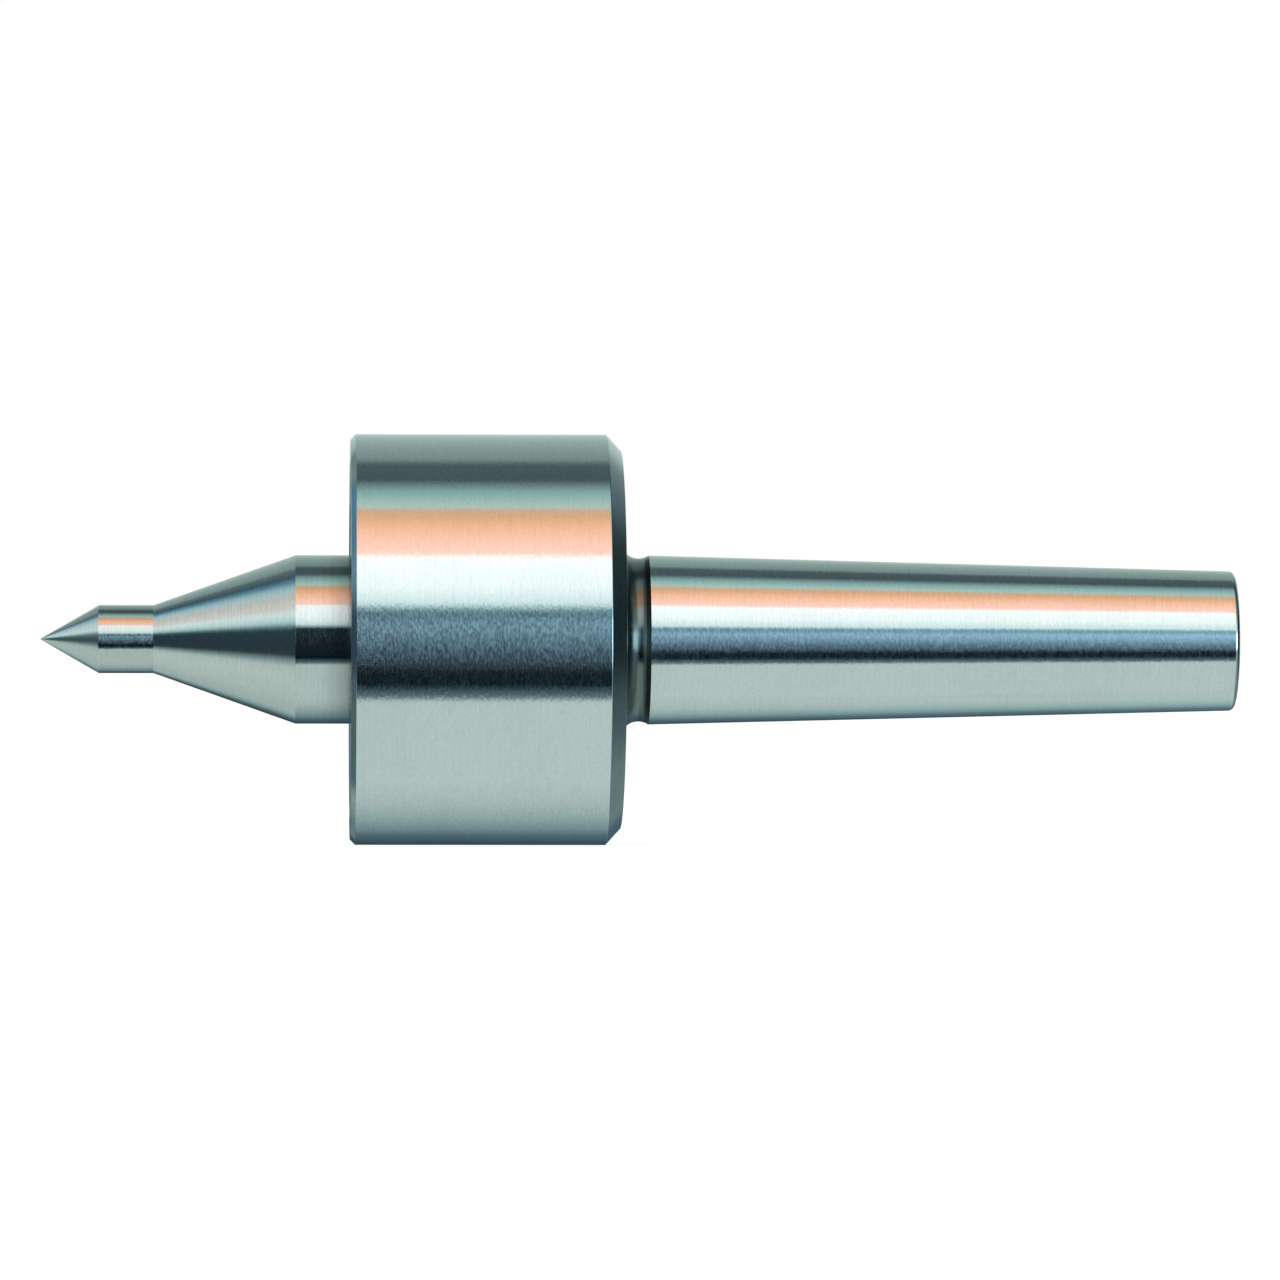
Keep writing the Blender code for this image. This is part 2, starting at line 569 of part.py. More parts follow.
def make_needle_bearing(housing, needles):
    """Needle roller bearing inside the shank: flanged outer ring, cage and needles."""
    half = NEEDLE_RING_WIDTH / 2
    race = NEEDLE_PITCH_RADIUS + NEEDLE_RADIUS + ROLL
    flank = half - NEEDLE_RING_CHAMFER
    lip = half - NEEDLE_LIP_WIDTH
    outline = [
        (half, NEEDLE_RING_RADIUS - NEEDLE_RING_CHAMFER),
        (flank, NEEDLE_RING_RADIUS),
        (-flank, NEEDLE_RING_RADIUS),
        (-half, NEEDLE_RING_RADIUS - NEEDLE_RING_CHAMFER),
        (-half, NEEDLE_LIP_RADIUS),
        (-lip, NEEDLE_LIP_RADIUS),
        (-lip, race),
        (lip, race),
        (lip, NEEDLE_LIP_RADIUS),
        (half, NEEDLE_LIP_RADIUS),
    ]
    place = (NEEDLE_X, 0, 0)
    add_object("needle_outer_ring", turned(outline, SMALL_SEGMENTS), "bearing_steel", housing, place)
    inner, outer = NEEDLE_CAGE_RADII
    blank = turned(ring(NEEDLE_CAGE_WIDTH / 2, inner, outer), 2 * NEEDLE_COUNT)
    cage = add_object("needle_cage", blank, "spring_steel", needles, place)
    length, width = NEEDLE_WINDOW
    size = Matrix.Diagonal((length, 2 * (outer - inner), width, 1))
    along_x = Matrix.Rotation(math.pi / 2, 4, "Y")
    windows = bmesh.new()
    for number, (angle, y, z) in enumerate(on_circle(NEEDLE_PITCH_RADIUS, NEEDLE_COUNT), 1):
        turn = Matrix.Translation((0, y, z)) @ Matrix.Rotation(angle, 4, "X")
        bmesh.ops.create_cube(windows, size=1, matrix=turn @ size)
        needle = bmesh.new()
        add_cylinders(needle, NEEDLE_RADIUS, NEEDLE_LENGTH, NEEDLE_SIDES, [along_x])
        add_object(f"needle_{number:02d}", needle, "bearing_steel", needles, (NEEDLE_X, y, z))
    cut(cage, add_object("needle_window_cutter", windows, "spring_steel", needles, place))


def main():
    clear_scene()
    make_materials()
    housing = make_group("housing_group", 0)
    spindle = make_group("spindle_group", BALL_BEARING_X)
    front_balls = make_group("front_ball_group", BALL_BEARING_X)
    thrust_balls = make_group("thrust_ball_group", THRUST_X)
    needles = make_group("needle_group", NEEDLE_X)
    make_body_shank(housing)
    make_spindle(spindle)
    make_front_cap(housing)
    make_shaft_seal(housing)
    make_preload_washer(housing)
    make_front_bearing(housing, spindle, front_balls)
    make_circlip(spindle)
    make_thrust_bearing(housing, spindle, thrust_balls)
    make_needle_bearing(housing, needles)


main()
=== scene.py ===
import json
import math

import bmesh
import bpy
from mathutils import Matrix, Vector


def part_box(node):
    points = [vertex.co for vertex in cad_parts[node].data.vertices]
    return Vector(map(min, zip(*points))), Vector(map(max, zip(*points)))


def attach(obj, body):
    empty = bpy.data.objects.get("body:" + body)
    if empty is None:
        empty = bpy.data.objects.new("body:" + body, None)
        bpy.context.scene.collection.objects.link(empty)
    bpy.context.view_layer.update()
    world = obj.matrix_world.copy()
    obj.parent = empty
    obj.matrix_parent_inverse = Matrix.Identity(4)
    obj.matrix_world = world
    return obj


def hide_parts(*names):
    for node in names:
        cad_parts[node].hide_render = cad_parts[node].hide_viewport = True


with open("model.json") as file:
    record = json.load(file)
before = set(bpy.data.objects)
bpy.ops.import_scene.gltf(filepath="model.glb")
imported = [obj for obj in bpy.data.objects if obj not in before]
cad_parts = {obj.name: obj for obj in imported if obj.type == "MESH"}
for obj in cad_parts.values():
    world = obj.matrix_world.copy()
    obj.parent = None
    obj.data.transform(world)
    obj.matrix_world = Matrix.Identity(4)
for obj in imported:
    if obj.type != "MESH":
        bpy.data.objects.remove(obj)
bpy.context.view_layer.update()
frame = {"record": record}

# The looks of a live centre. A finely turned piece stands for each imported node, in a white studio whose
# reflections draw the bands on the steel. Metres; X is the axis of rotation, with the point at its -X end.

MM = 0.001
BODIES = frame["record"]["behaviour"]["bodies"]
BODY_OF = {node: body for body, nodes in BODIES.items() for node in nodes}

# Mesh quality
SEGMENTS = 256  # round the axis on large pieces
SMALL_SEGMENTS = 96
FINE_SEGMENTS = 48  # on needles, pin holes and pockets
DRILL_LENGTH = 6 * MM  # of a cutter, longer than a cage is thick
FILLET_TURN = math.radians(20)  # turn of each step round a rounded edge
SMOOTH_TURN = math.radians(16)  # outline corners that turn less than this are points of a curve
EDGE = 0.08 * MM  # radius of an edge broken with a stone
LIGHT_BREAK = 0.4 * MM  # width of a turned piece's usual chamfer

# Head and shank
GAUGE_DIAMETER = 23.825 * MM
TAPER_RATE = 1 / 19.922
HEAD_LENGTH = 38.2 * MM
FRONT_CHAMFER = 0.75 * MM
BACK_CHAMFER = 2.3 * MM
BACK_CHAMFER_LENGTH = 2.1 * MM
TAIL_ROUNDING = 0.76 * MM
RELIEF_ARC = (300, 180)  # degrees, from the lip round to the head's back face
RELIEF_RADIUS = 2.55 * MM
RELIEF_DEPTH = 0.42 * MM
RELIEF_LIP = 1.55 * MM
LIP_SHADE_FROM = 2.15 * MM  # painted shade: a dark line from here to the lip of the relief
CENTRE_HOLE_RADIUS = 4.0 * MM
CENTRE_DRILL_RADIUS = 1.6 * MM
CENTRE_DRILL_DEPTH = 2.4 * MM
DRILL_POINT = math.tan(math.radians(31))  # depth of a drilled hole's end for each unit of its radius
SEAT_STEP = 0.5 * MM
BEARING_BORE = 23.6 * MM
THRUST_BORE = 15.1 * MM
NEEDLE_BORE = 8.55 * MM
NEEDLE_SEAT = 12.8 * MM
END_BORE = 5.9 * MM
BACK_WALL = 3.7 * MM
CAP_BORE = 25.0 * MM

# Spindle
STEM_RADIUS = 11.9 * MM
STEM_PROJECTION = 7.7 * MM
CONE_LENGTH = 20.0 * MM
NOSE_RADIUS = 4.8 * MM
NOSE_LENGTH = 7.7 * MM
POINT_HALF_ANGLE = math.radians(30)
TIP_RADIUS = 0.06 * MM
FRONT_JOURNAL = 10.0 * MM
THRUST_JOURNAL = 8.5 * MM
NEEDLE_JOURNAL = 5.0 * MM
CIRCLIP_GROOVE = (9.3 * MM, 0.6 * MM)  # radius, and half its width
JOURNAL_END_GAP = 0.7 * MM  # from the thrust journal's end to the floor of the pocket
BORE_END_GAP = 1.5 * MM  # behind the spindle's end

# Gaps between the pieces
FIT = 0.1 * MM
ROLL = 0.15 * MM


def middle(node):
    low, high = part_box(node)
    return (low + high) / 2


def half_width(node):
    low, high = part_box(node)
    return (high.x - low.x) / 2


def rim(node):
    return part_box(node)[1].z


FRONT_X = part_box("body_shank")[0].x
TAIL_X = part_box("body_shank")[1].x
HEAD_RADIUS = rim("body_shank")
SHOULDER_X = FRONT_X + HEAD_LENGTH
TIP_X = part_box("center_spindle")[0].x
SPINDLE_END_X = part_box("center_spindle")[1].x
STEM_FRONT_X = FRONT_X - STEM_PROJECTION
NOSE_BACK_X = STEM_FRONT_X - CONE_LENGTH
NOSE_FRONT_X = NOSE_BACK_X - NOSE_LENGTH
FLOOR_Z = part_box("body_shank")[0].z


def taper_radius(x):
    return (GAUGE_DIAMETER - x * TAPER_RATE) / 2


# ---------------------------------------------------------------- outlines and turned meshes


def arc(centre, radius, start, end, steps):
    """Points (x, r) from one angle to another in degrees, 0 towards +X and 90 away from the axis."""
    angles = [math.radians(start + (end - start) * i / steps) for i in range(steps + 1)]
    return [(centre[0] + radius * math.cos(a), centre[1] + radius * math.sin(a)) for a in angles]


def ring_section(centre, radius, steps=24):
    return arc(centre, radius, 0, 360 * (steps - 1) / steps, steps - 1)


def signed_area(points):
    ahead = points[1:] + points[:1]
    return sum(a[0] * b[1] - b[0] * a[1] for a, b in zip(points, ahead)) / 2


def rounded(corners, closed):
    """Breaks an outline's sharp corners.

    A corner is (x, r) or (x, r, radius of its rounding). Returns (point, tangent) pairs, with the outside
    on the right of the tangent.
    """
    corners = [(Vector(c[:2]), c[2] if len(c) > 2 else EDGE) for c in corners]
    if signed_area([tuple(p) for p, _ in corners]) < 0:
        corners.reverse()
    count = len(corners)
    rows = []
    for i, (point, radius) in enumerate(corners):
        if not closed and i in (0, count - 1):
            other = corners[1][0] - point if i == 0 else point - corners[-2][0]
            rows.append((point, other.normalized()))
            continue
        before = point - corners[i - 1][0]
        after = corners[(i + 1) % count][0] - point
        turn = before.angle_signed(after)
        if abs(turn) < SMOOTH_TURN:
            tangent = before.normalized() * before.length**2 + after.normalized() * after.length**2
            rows.append((point, tangent.normalized()))
            continue
        reach = min(radius * math.tan(abs(turn) / 2), 0.45 * before.length, 0.45 * after.length)
        radius = reach / math.tan(abs(turn) / 2)
        side = -math.copysign(1, turn)
        start = point - before.normalized() * reach
        inward = Vector((-before.y, before.x)).normalized() * side
        centre = start + inward * radius
        steps = max(2, math.ceil(abs(turn) / FILLET_TURN))
        for step in range(steps + 1):
            rotation = Matrix.Rotation(-turn * step / steps, 2)
            rows.append((centre - rotation @ inward * radius, rotation @ before.normalized()))
    return rows


def link_object(name, mesh):
    obj = bpy.data.objects.new(name, mesh)
    bpy.context.scene.collection.objects.link(obj)
    return obj


def turned(name, corners, closed=True, segments=SEGMENTS, at=(0, 0, 0)):
    """A mesh turned about an axis along X through a point, with the outline's own normals."""
    rows = rounded(corners, closed)
    places, normals, rings = [], [], []
    for point, tangent in rows:
        on_axis = point.y < 1e-9
        turns = [0.0] if on_axis else [2 * math.pi * i / segments for i in range(segments)]
        rings.append((len(places), on_axis))
        for angle in turns:
            radial = Vector((0, math.cos(angle), math.sin(angle)))
            places.append(Vector((point.x, 0, 0)) + radial * point.y + Vector(at))
            out = Vector((tangent.y, 0, 0)) - (radial * tangent.x if not on_axis else Vector())
            normals.append(out.normalized())
    faces = []
    pairs = zip(rings, rings[1:] + rings[:1]) if closed else zip(rings, rings[1:])
    for (first, first_point), (second, second_point) in pairs:
        for i in range(segments):
            j = (i + 1) % segments
            if first_point:
                faces.append((first, second + i, second + j))
            elif second_point:
                faces.append((first + i, second, first + j))
            else:
                faces.append((first + i, second + i, second + j, first + j))
    mesh = bpy.data.meshes.new(name)
    mesh.from_pydata(places, [], faces)
    mesh.shade_smooth()
    mesh.normals_split_custom_set_from_vertices(normals)
    mesh.update()
    return link_object(name, mesh)


def apply_modifiers(obj):
    evaluated = obj.evaluated_get(bpy.context.evaluated_depsgraph_get())
    mesh = bpy.data.meshes.new_from_object(evaluated)
    obj.modifiers.clear()
    obj.data = mesh


def cut(obj, cutters, bevel=0.0):
    """Takes the cutters out of the object, breaks the new edges and evens out the shading."""
    for cutter in cutters:
        modifier = obj.modifiers.new("cut", "BOOLEAN")
        modifier.object = cutter
        modifier.solver = "EXACT"
    apply_modifiers(obj)
    for cutter in cutters:
        bpy.data.objects.remove(cutter, do_unlink=True)
    obj.data.shade_smooth()
    obj.data.set_sharp_from_angle(angle=math.radians(35))
    if bevel:
        modifier = obj.modifiers.new("broken_edges", "BEVEL")
        modifier.width = bevel
        modifier.segments = 2
        modifier.angle_limit = math.radians(35)
    modifier = obj.modifiers.new("even_shading", "WEIGHTED_NORMAL")
    modifier.keep_sharp = True
    apply_modifiers(obj)


def rectangle(x, half, inner, outer):
    """The outline of a plain ring."""
    return [(x - half, inner), (x - half, outer), (x + half, outer), (x + half, inner)]


def around(count, radius):
    """Angles and (y, z) places spaced evenly round the axis."""
    angles = [2 * math.pi * i / count for i in range(count)]
    return [(a, radius * math.cos(a), radius * math.sin(a)) for a in angles]


def finished(obj, node, slot, *finishes):
    """The piece stands for a CAD node: it rides on that node's body and takes the finishes given; slot is
    not used.
    """
    for finish in finishes:
        obj.data.materials.append(MATERIALS[finish])
    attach(obj, BODY_OF[node])
    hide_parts(node)
    return obj


def set_finish(obj, finish, wanted):
    """Gives a finish to the faces chosen by their place along X and their slope to the axis."""
    index = list(obj.data.materials).index(MATERIALS[finish])
    for face in obj.data.polygons:
        slope = math.asin(min(1.0, abs(face.normal.x)))
        if wanted(face.center.x, slope):
            face.material_index = index


# ---------------------------------------------------------------- materials


def add(tree, kind, sockets=None, **settings):
    """A node with its settings, and its sockets given values or linked."""
    node = tree.nodes.new("ShaderNode" + kind)
    for name, value in settings.items():
        setattr(node, name, value)
    for name, value in (sockets or {}).items():
        if isinstance(value, bpy.types.NodeSocket):
            tree.links.new(value, node.inputs[name])
        else:
            node.inputs[name].default_value = value
    return node


def calc(tree, operation, *values):
    return add(tree, "Math", dict(enumerate(values)), operation=operation).outputs[0]


def spread(tree, value, low, high):
    """A noise's middle range spread out between two values."""
    sockets = {"Value": value, "From Min": 0.3, "From Max": 0.7, "To Min": low, "To Max": high}
    return add(tree, "MapRange", sockets).outputs[0]


def ramp(tree, position, stops):
    """A colour ramp with (position, colour) stops."""
    node = add(tree, "ValToRGB", {0: position})
    elements = node.color_ramp.elements
    while len(elements) < len(stops):
        elements.new(1.0)
    for element, (place, colour) in zip(elements, stops):
        element.position = place
        element.color = (*colour, 1)
    return node.outputs["Color"]


def new_material(name):
    """A material, its node tree, its shader, and the place on the piece in mm."""
    material = bpy.data.materials.new(name)
    material.use_nodes = True
    tree = material.node_tree
    shader = tree.nodes["Principled BSDF"]
    place = add(tree, "TexCoord").outputs["Object"]
    place = add(tree, "VectorMath", {0: place, 3: 1 / MM}, operation="SCALE").outputs[0]
    return material, tree, shader, place


def two_tones(tree, shade, edges, colour, tone):
    """The colour, darker at the first edge of the shade's range and lighter at the second."""
    dark = tuple(c * (1 - tone) for c in colour)
    light = tuple(min(1.0, c * (1 + tone)) for c in colour)
    return ramp(tree, shade, ((edges[0], dark), (edges[1], light)))


def engrave(tree, shader, height, depth):
    bump = add(tree, "Bump", {"Height": height, "Strength": 1.0, "Distance": depth})
    tree.links.new(bump.outputs[0], shader.inputs["Normal"])


def tooled_steel(
    name,
    colour,
    roughness,
    smear,
    along=3.0,
    around_rate=1.2,
    rings=0.1,
    tone=0.05,
    relief=5e-6,
    dim=None,
):
    """Steel with fine marks round the axis: they smear its reflections along the axis.

    smear is the anisotropy. along and around_rate set how fine the marks are along the axis and round it,
    rings is the share of full rings in the colour, and relief is the marks' depth in metres. dim is
    (from_x, to_x, share), a painted shade: the colour falls to that share between two places along X, in
    mm.
    """
    material, tree, shader, place = new_material(name)
    x, y, z = add(tree, "SeparateXYZ", {0: place}).outputs
    squares = (calc(tree, "MULTIPLY", y, y), calc(tree, "MULTIPLY", z, z))
    radius = calc(tree, "SQRT", calc(tree, "ADD", *squares))
    # Runs on along the outline, over cylinders and faces alike.
    profile = calc(tree, "MULTIPLY_ADD", radius, 1.618, x)

    def noise(along_rate, around_rate, detail):
        place = add(tree, "CombineXYZ", {
            0: calc(tree, "MULTIPLY", profile, along_rate),
            1: calc(tree, "MULTIPLY", y, around_rate),
            2: calc(tree, "MULTIPLY", z, around_rate),
        }).outputs[0]
        sockets = {"Vector": place, "Scale": 1.0, "Detail": detail, "Roughness": 0.6}
        return add(tree, "TexNoise", sockets).outputs[0]

    grain = noise(along, around_rate, 1.0)
    streaks = noise(along, around_rate / 6, 3.0)
    blotches = noise(0.12, 0.05, 2.0)
    sockets = {"W": profile, "Scale": 2.5, "Detail": 2.0}
    lines = add(tree, "TexNoise", sockets, noise_dimensions="1D").outputs[0]
    shade = calc(tree, "MULTIPLY_ADD", grain, 0.45, calc(tree, "MULTIPLY", streaks, 0.3))
    shade = calc(tree, "MULTIPLY_ADD", blotches, 0.25 - rings, shade)
    shade = calc(tree, "MULTIPLY_ADD", lines, rings, shade)
    tint = two_tones(tree, shade, (0.42, 0.58), colour, tone)
    # Painted shade: the colour darkens between two places along X.
    if dim:
        from_x, to_x, share = dim
        sockets = {"Value": x, "From Min": from_x, "From Max": to_x, "To Min": 1.0, "To Max": share}
        dimming = add(tree, "MapRange", sockets, interpolation_type="SMOOTHSTEP").outputs[0]
        tint = add(tree, "VectorMath", {0: tint, 3: dimming}, operation="SCALE").outputs[0]
    tree.links.new(tint, shader.inputs["Base Color"])
    tree.links.new(spread(tree, grain, roughness * 0.8, roughness * 1.2), shader.inputs["Roughness"])
    shader.inputs["Metallic"].default_value = 1.0
    shader.inputs["Anisotropic"].default_value = smear
    shader.inputs["Anisotropic Rotation"].default_value = 0.25
    tangent = add(tree, "Tangent", direction_type="RADIAL", axis="X").outputs[0]
    tree.links.new(tangent, shader.inputs["Tangent"])
    engrave(tree, shader, grain, relief)
    return material


def rolled_metal(name, colour, roughness, tone=0.08, relief=4e-6, metallic=1.0):
    """A metal or rubber surface with an even grain that has no direction."""
    material, tree, shader, place = new_material(name)
    grain = add(tree, "TexNoise", {"Vector": place, "Scale": 3.2, "Detail": 6.0}).outputs[0]
    patches = add(tree, "TexNoise", {"Vector": place, "Scale": 0.8, "Detail": 2.0}).outputs[0]
    shade = calc(tree, "MULTIPLY_ADD", grain, 0.5, calc(tree, "MULTIPLY", patches, 0.5))
    tree.links.new(two_tones(tree, shade, (0.38, 0.62), colour, tone), shader.inputs["Base Color"])
    tree.links.new(spread(tree, shade, roughness * 0.8, roughness * 1.2), shader.inputs["Roughness"])
    shader.inputs["Metallic"].default_value = metallic
    engrave(tree, shader, grain, relief)
    return material


STEEL = (0.56, 0.60, 0.60)
MATERIALS = {
    "ground": tooled_steel(
        "ground_steel", STEEL, 0.15, 1.0,
        along=3.4, around_rate=1.6, relief=7e-6,
    ),
    "nose": tooled_steel(
        "polished_nose", (0.48, 0.51, 0.50), 0.17, 1.0,
        along=3.6, around_rate=2.0, relief=8e-6,
    ),
    # Painted shade: the stem's colour falls to 0.6 of itself towards the head.
    "stem": tooled_steel(
        "finely_turned_steel_painted_shade", (0.50, 0.54, 0.53), 0.10, 0.4,
        rings=0.25, relief=2e-6, dim=(-48.5, -43.4, 0.6),
    ),
    "cone": tooled_steel("turned_steel", (0.55, 0.59, 0.59), 0.13, 0.6, rings=0.2, relief=4e-6),
    "edge": tooled_steel("chamfered_steel", STEEL, 0.12, 0.3, relief=1e-6),
    "faced": tooled_steel(
        "faced_steel", STEEL, 0.5, 0.5,
        along=5.0, around_rate=0.6, rings=0.3, relief=6e-6,
    ),
    # Painted shade: the relief groove is coloured dark for the shade in its hollow.
    "groove": tooled_steel(
        "turned_groove_painted_shade", (0.14, 0.165, 0.155), 0.20, 0.6,
        rings=0.25, tone=0.1, relief=2e-6,
    ),
    # Painted shade: a dark line along the relief's lip.
    "lip_shade": tooled_steel(
        "painted_lip_shade", (0.05, 0.06, 0.055), 0.20, 0.3,
        tone=0.15, relief=2e-6,
    ),
    "race": tooled_steel("bearing_steel", (0.66, 0.66, 0.67), 0.10, 0.5, tone=0.03, relief=5e-7),
    "polished": rolled_metal("polished_steel", (0.70, 0.70, 0.71), 0.06, tone=0.02, relief=1e-7),
    "spring": rolled_metal("spring_steel", (0.30, 0.31, 0.34), 0.30),
    "cage": rolled_metal("cage_steel", (0.42, 0.42, 0.43), 0.35),
    "brass": tooled_steel("brass", (0.72, 0.55, 0.28), 0.28, 0.6, tone=0.06),
    "case": rolled_metal("seal_case", (0.16, 0.17, 0.18), 0.42, tone=0.15),
    "rubber": rolled_metal(
        "rubber", (0.022, 0.022, 0.024), 0.6,
        tone=0.25, relief=1e-5, metallic=0.0,
    ),
}


# ---------------------------------------------------------------- head, shank and spindle


def make_body():
    """Head and shank, one forging: bored from the front, with a centre hole in the tail."""
    relief_floor = taper_radius(-RELIEF_LIP) - RELIEF_DEPTH
    relief_centre = (SHOULDER_X + RELIEF_RADIUS, relief_floor + RELIEF_RADIUS)
    countersink = (CENTRE_HOLE_RADIUS - CENTRE_DRILL_RADIUS) / math.tan(POINT_HALF_ANGLE)
    drill_end_x = TAIL_X - countersink - CENTRE_DRILL_DEPTH
    cap_seat_x = middle("front_cap").x + half_width("front_cap") + SEAT_STEP
    bearing_seat_x = middle("front_bearing_outer_ring").x + half_width("front_bearing_outer_ring") + FIT
    pocket_floor_x = SHOULDER_X - BACK_WALL
    needle_seat_x = pocket_floor_x + NEEDLE_SEAT
    bore_end_x = SPINDLE_END_X + BORE_END_GAP
    corners = [
        (drill_end_x - CENTRE_DRILL_RADIUS * DRILL_POINT, 0),
        (drill_end_x, CENTRE_DRILL_RADIUS),
        (TAIL_X - countersink, CENTRE_DRILL_RADIUS),
        (TAIL_X, CENTRE_HOLE_RADIUS, 0.15 * MM),
        (TAIL_X, taper_radius(TAIL_X), TAIL_ROUNDING),
        (-RELIEF_LIP, taper_radius(-RELIEF_LIP), 0.1 * MM),
        *arc(relief_centre, RELIEF_RADIUS, *RELIEF_ARC, 28),
        (SHOULDER_X, HEAD_RADIUS - BACK_CHAMFER, 0.12 * MM),
        (SHOULDER_X - BACK_CHAMFER_LENGTH, HEAD_RADIUS, 0.25 * MM),
        (FRONT_X + FRONT_CHAMFER, HEAD_RADIUS, 0.1 * MM),
        (FRONT_X, HEAD_RADIUS - FRONT_CHAMFER, 0.1 * MM),
        (FRONT_X, CAP_BORE + LIGHT_BREAK),
        (FRONT_X + LIGHT_BREAK, CAP_BORE),
        (cap_seat_x, CAP_BORE),
        (cap_seat_x, BEARING_BORE),
        (bearing_seat_x, BEARING_BORE),
        (bearing_seat_x, THRUST_BORE),
        (pocket_floor_x, THRUST_BORE),
        (pocket_floor_x, NEEDLE_BORE),
        (needle_seat_x, NEEDLE_BORE),
        (needle_seat_x, END_BORE),
        (bore_end_x, END_BORE),
        (bore_end_x + END_BORE * DRILL_POINT, 0),
    ]
    body = turned("head_and_taper_shank", corners, closed=False)
    finished(body, "body_shank", "ground_steel", "ground", "edge", "groove", "lip_shade", "faced")
    hair = 0.01 * MM
    set_finish(body, "edge", lambda x, slope: slope > math.radians(10))
    set_finish(body, "faced", lambda x, slope: slope > math.radians(80) and x > SHOULDER_X - hair)
    # The relief is coloured dark as painted shade.
    set_finish(body, "groove", lambda x, slope: SHOULDER_X + hair < x < -RELIEF_LIP)
    # The line along the relief's lip is coloured dark as painted shade.
    set_finish(body, "lip_shade", lambda x, slope: -LIP_SHADE_FROM < x < -RELIEF_LIP - 3 * hair)


def make_spindle():
    """The point, nose, cone and stem, and the journals behind them."""
    circlip_x = middle("spindle_circlip").x
    groove_radius, groove_half = CIRCLIP_GROOVE
    bearing_front_x = middle("front_bearing_inner_ring").x - half_width("front_bearing_inner_ring")
    thrust_shoulder_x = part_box("thrust_shaft_washer")[0].x - FIT
    thrust_end_x = SHOULDER_X - BACK_WALL - JOURNAL_END_GAP
    end_chamfer = 0.8 * MM
    corners = [
        (TIP_X, 0),
        (TIP_X, TIP_RADIUS, TIP_RADIUS / 2),
        (NOSE_FRONT_X, NOSE_RADIUS, 0.12 * MM),
        (NOSE_BACK_X, NOSE_RADIUS, 0.3 * MM),
        (STEM_FRONT_X, STEM_RADIUS, 0.1 * MM),
        (bearing_front_x - FIT, STEM_RADIUS),
        (bearing_front_x - FIT, FRONT_JOURNAL),
        (circlip_x - groove_half, FRONT_JOURNAL),
        (circlip_x - groove_half, groove_radius),
        (circlip_x + groove_half, groove_radius),
        (circlip_x + groove_half, FRONT_JOURNAL),
        (thrust_shoulder_x, FRONT_JOURNAL),
        (thrust_shoulder_x, THRUST_JOURNAL),
        (thrust_end_x, THRUST_JOURNAL, 0.2 * MM),
        (thrust_end_x, NEEDLE_JOURNAL),
        (SPINDLE_END_X - end_chamfer, NEEDLE_JOURNAL),
        (SPINDLE_END_X, NEEDLE_JOURNAL - end_chamfer),
        (SPINDLE_END_X, 0),
    ]
    spindle = turned("point_spindle", corners, closed=False)
    finished(spindle, "center_spindle", "hardened_steel", "ground", "cone", "stem", "nose")
    set_finish(spindle, "nose", lambda x, slope: NOSE_FRONT_X < x <= NOSE_BACK_X)
    set_finish(spindle, "cone", lambda x, slope: NOSE_BACK_X < x <= STEM_FRONT_X)
    set_finish(spindle, "stem", lambda x, slope: STEM_FRONT_X < x < bearing_front_x)


# ---------------------------------------------------------------- front cap and seal


def make_front_cap():
    """The screwed ring that closes the head, with four blind holes for a pin spanner, and its O-ring."""
    front_x, back_x = (corner.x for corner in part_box("front_cap"))
    bore = STEM_RADIUS + 0.3 * MM
    outer = rim("front_cap")
    pocket = 17.6 * MM
    web = 1.6 * MM
    groove_front, groove_back, groove_radius = 1.0 * MM, 3.2 * MM, 23.1 * MM
    corners = [
        (front_x, bore, 0.15 * MM),
        (front_x, outer - LIGHT_BREAK),
        (front_x + LIGHT_BREAK, outer),
        (front_x + groove_front, outer),
        (front_x + groove_front, groove_radius),
        (front_x + groove_back, groove_radius),
        (front_x + groove_back, outer),
        (back_x - LIGHT_BREAK, outer),
        (back_x, outer - LIGHT_BREAK),
        (back_x, pocket),
        (front_x + web, pocket),
        (front_x + web, bore),
    ]
    cap = turned("screwed_front_cap", corners)
    hole_count, hole_circle = 4, 20.3 * MM
    hole, depth, chamfer, above = 1.6 * MM, 3.5 * MM, 0.3 * MM, 1 * MM
    hole_corners = [
        (front_x - above, 0),
        (front_x - above, hole + chamfer + above, 0),
        (front_x + chamfer, hole, 0),
        (front_x + depth, hole, 0),
        (front_x + depth + hole * DRILL_POINT, 0),
    ]
    holes = [
        turned("pin_hole", hole_corners, closed=False, segments=FINE_SEGMENTS, at=(0, y, z))
        for _, y, z in around(hole_count, hole_circle)
    ]
    cut(cap, holes)
    finished(cap, "front_cap", "turned_steel", "ground")
    o_ring_x = middle("cap_o_ring").x
    o_ring_radius = 0.85 * MM
    section = ring_section((o_ring_x, rim("cap_o_ring") - o_ring_radius), o_ring_radius)
    finished(turned("cap_seal_ring", section), "cap_o_ring", "rubber", "rubber")


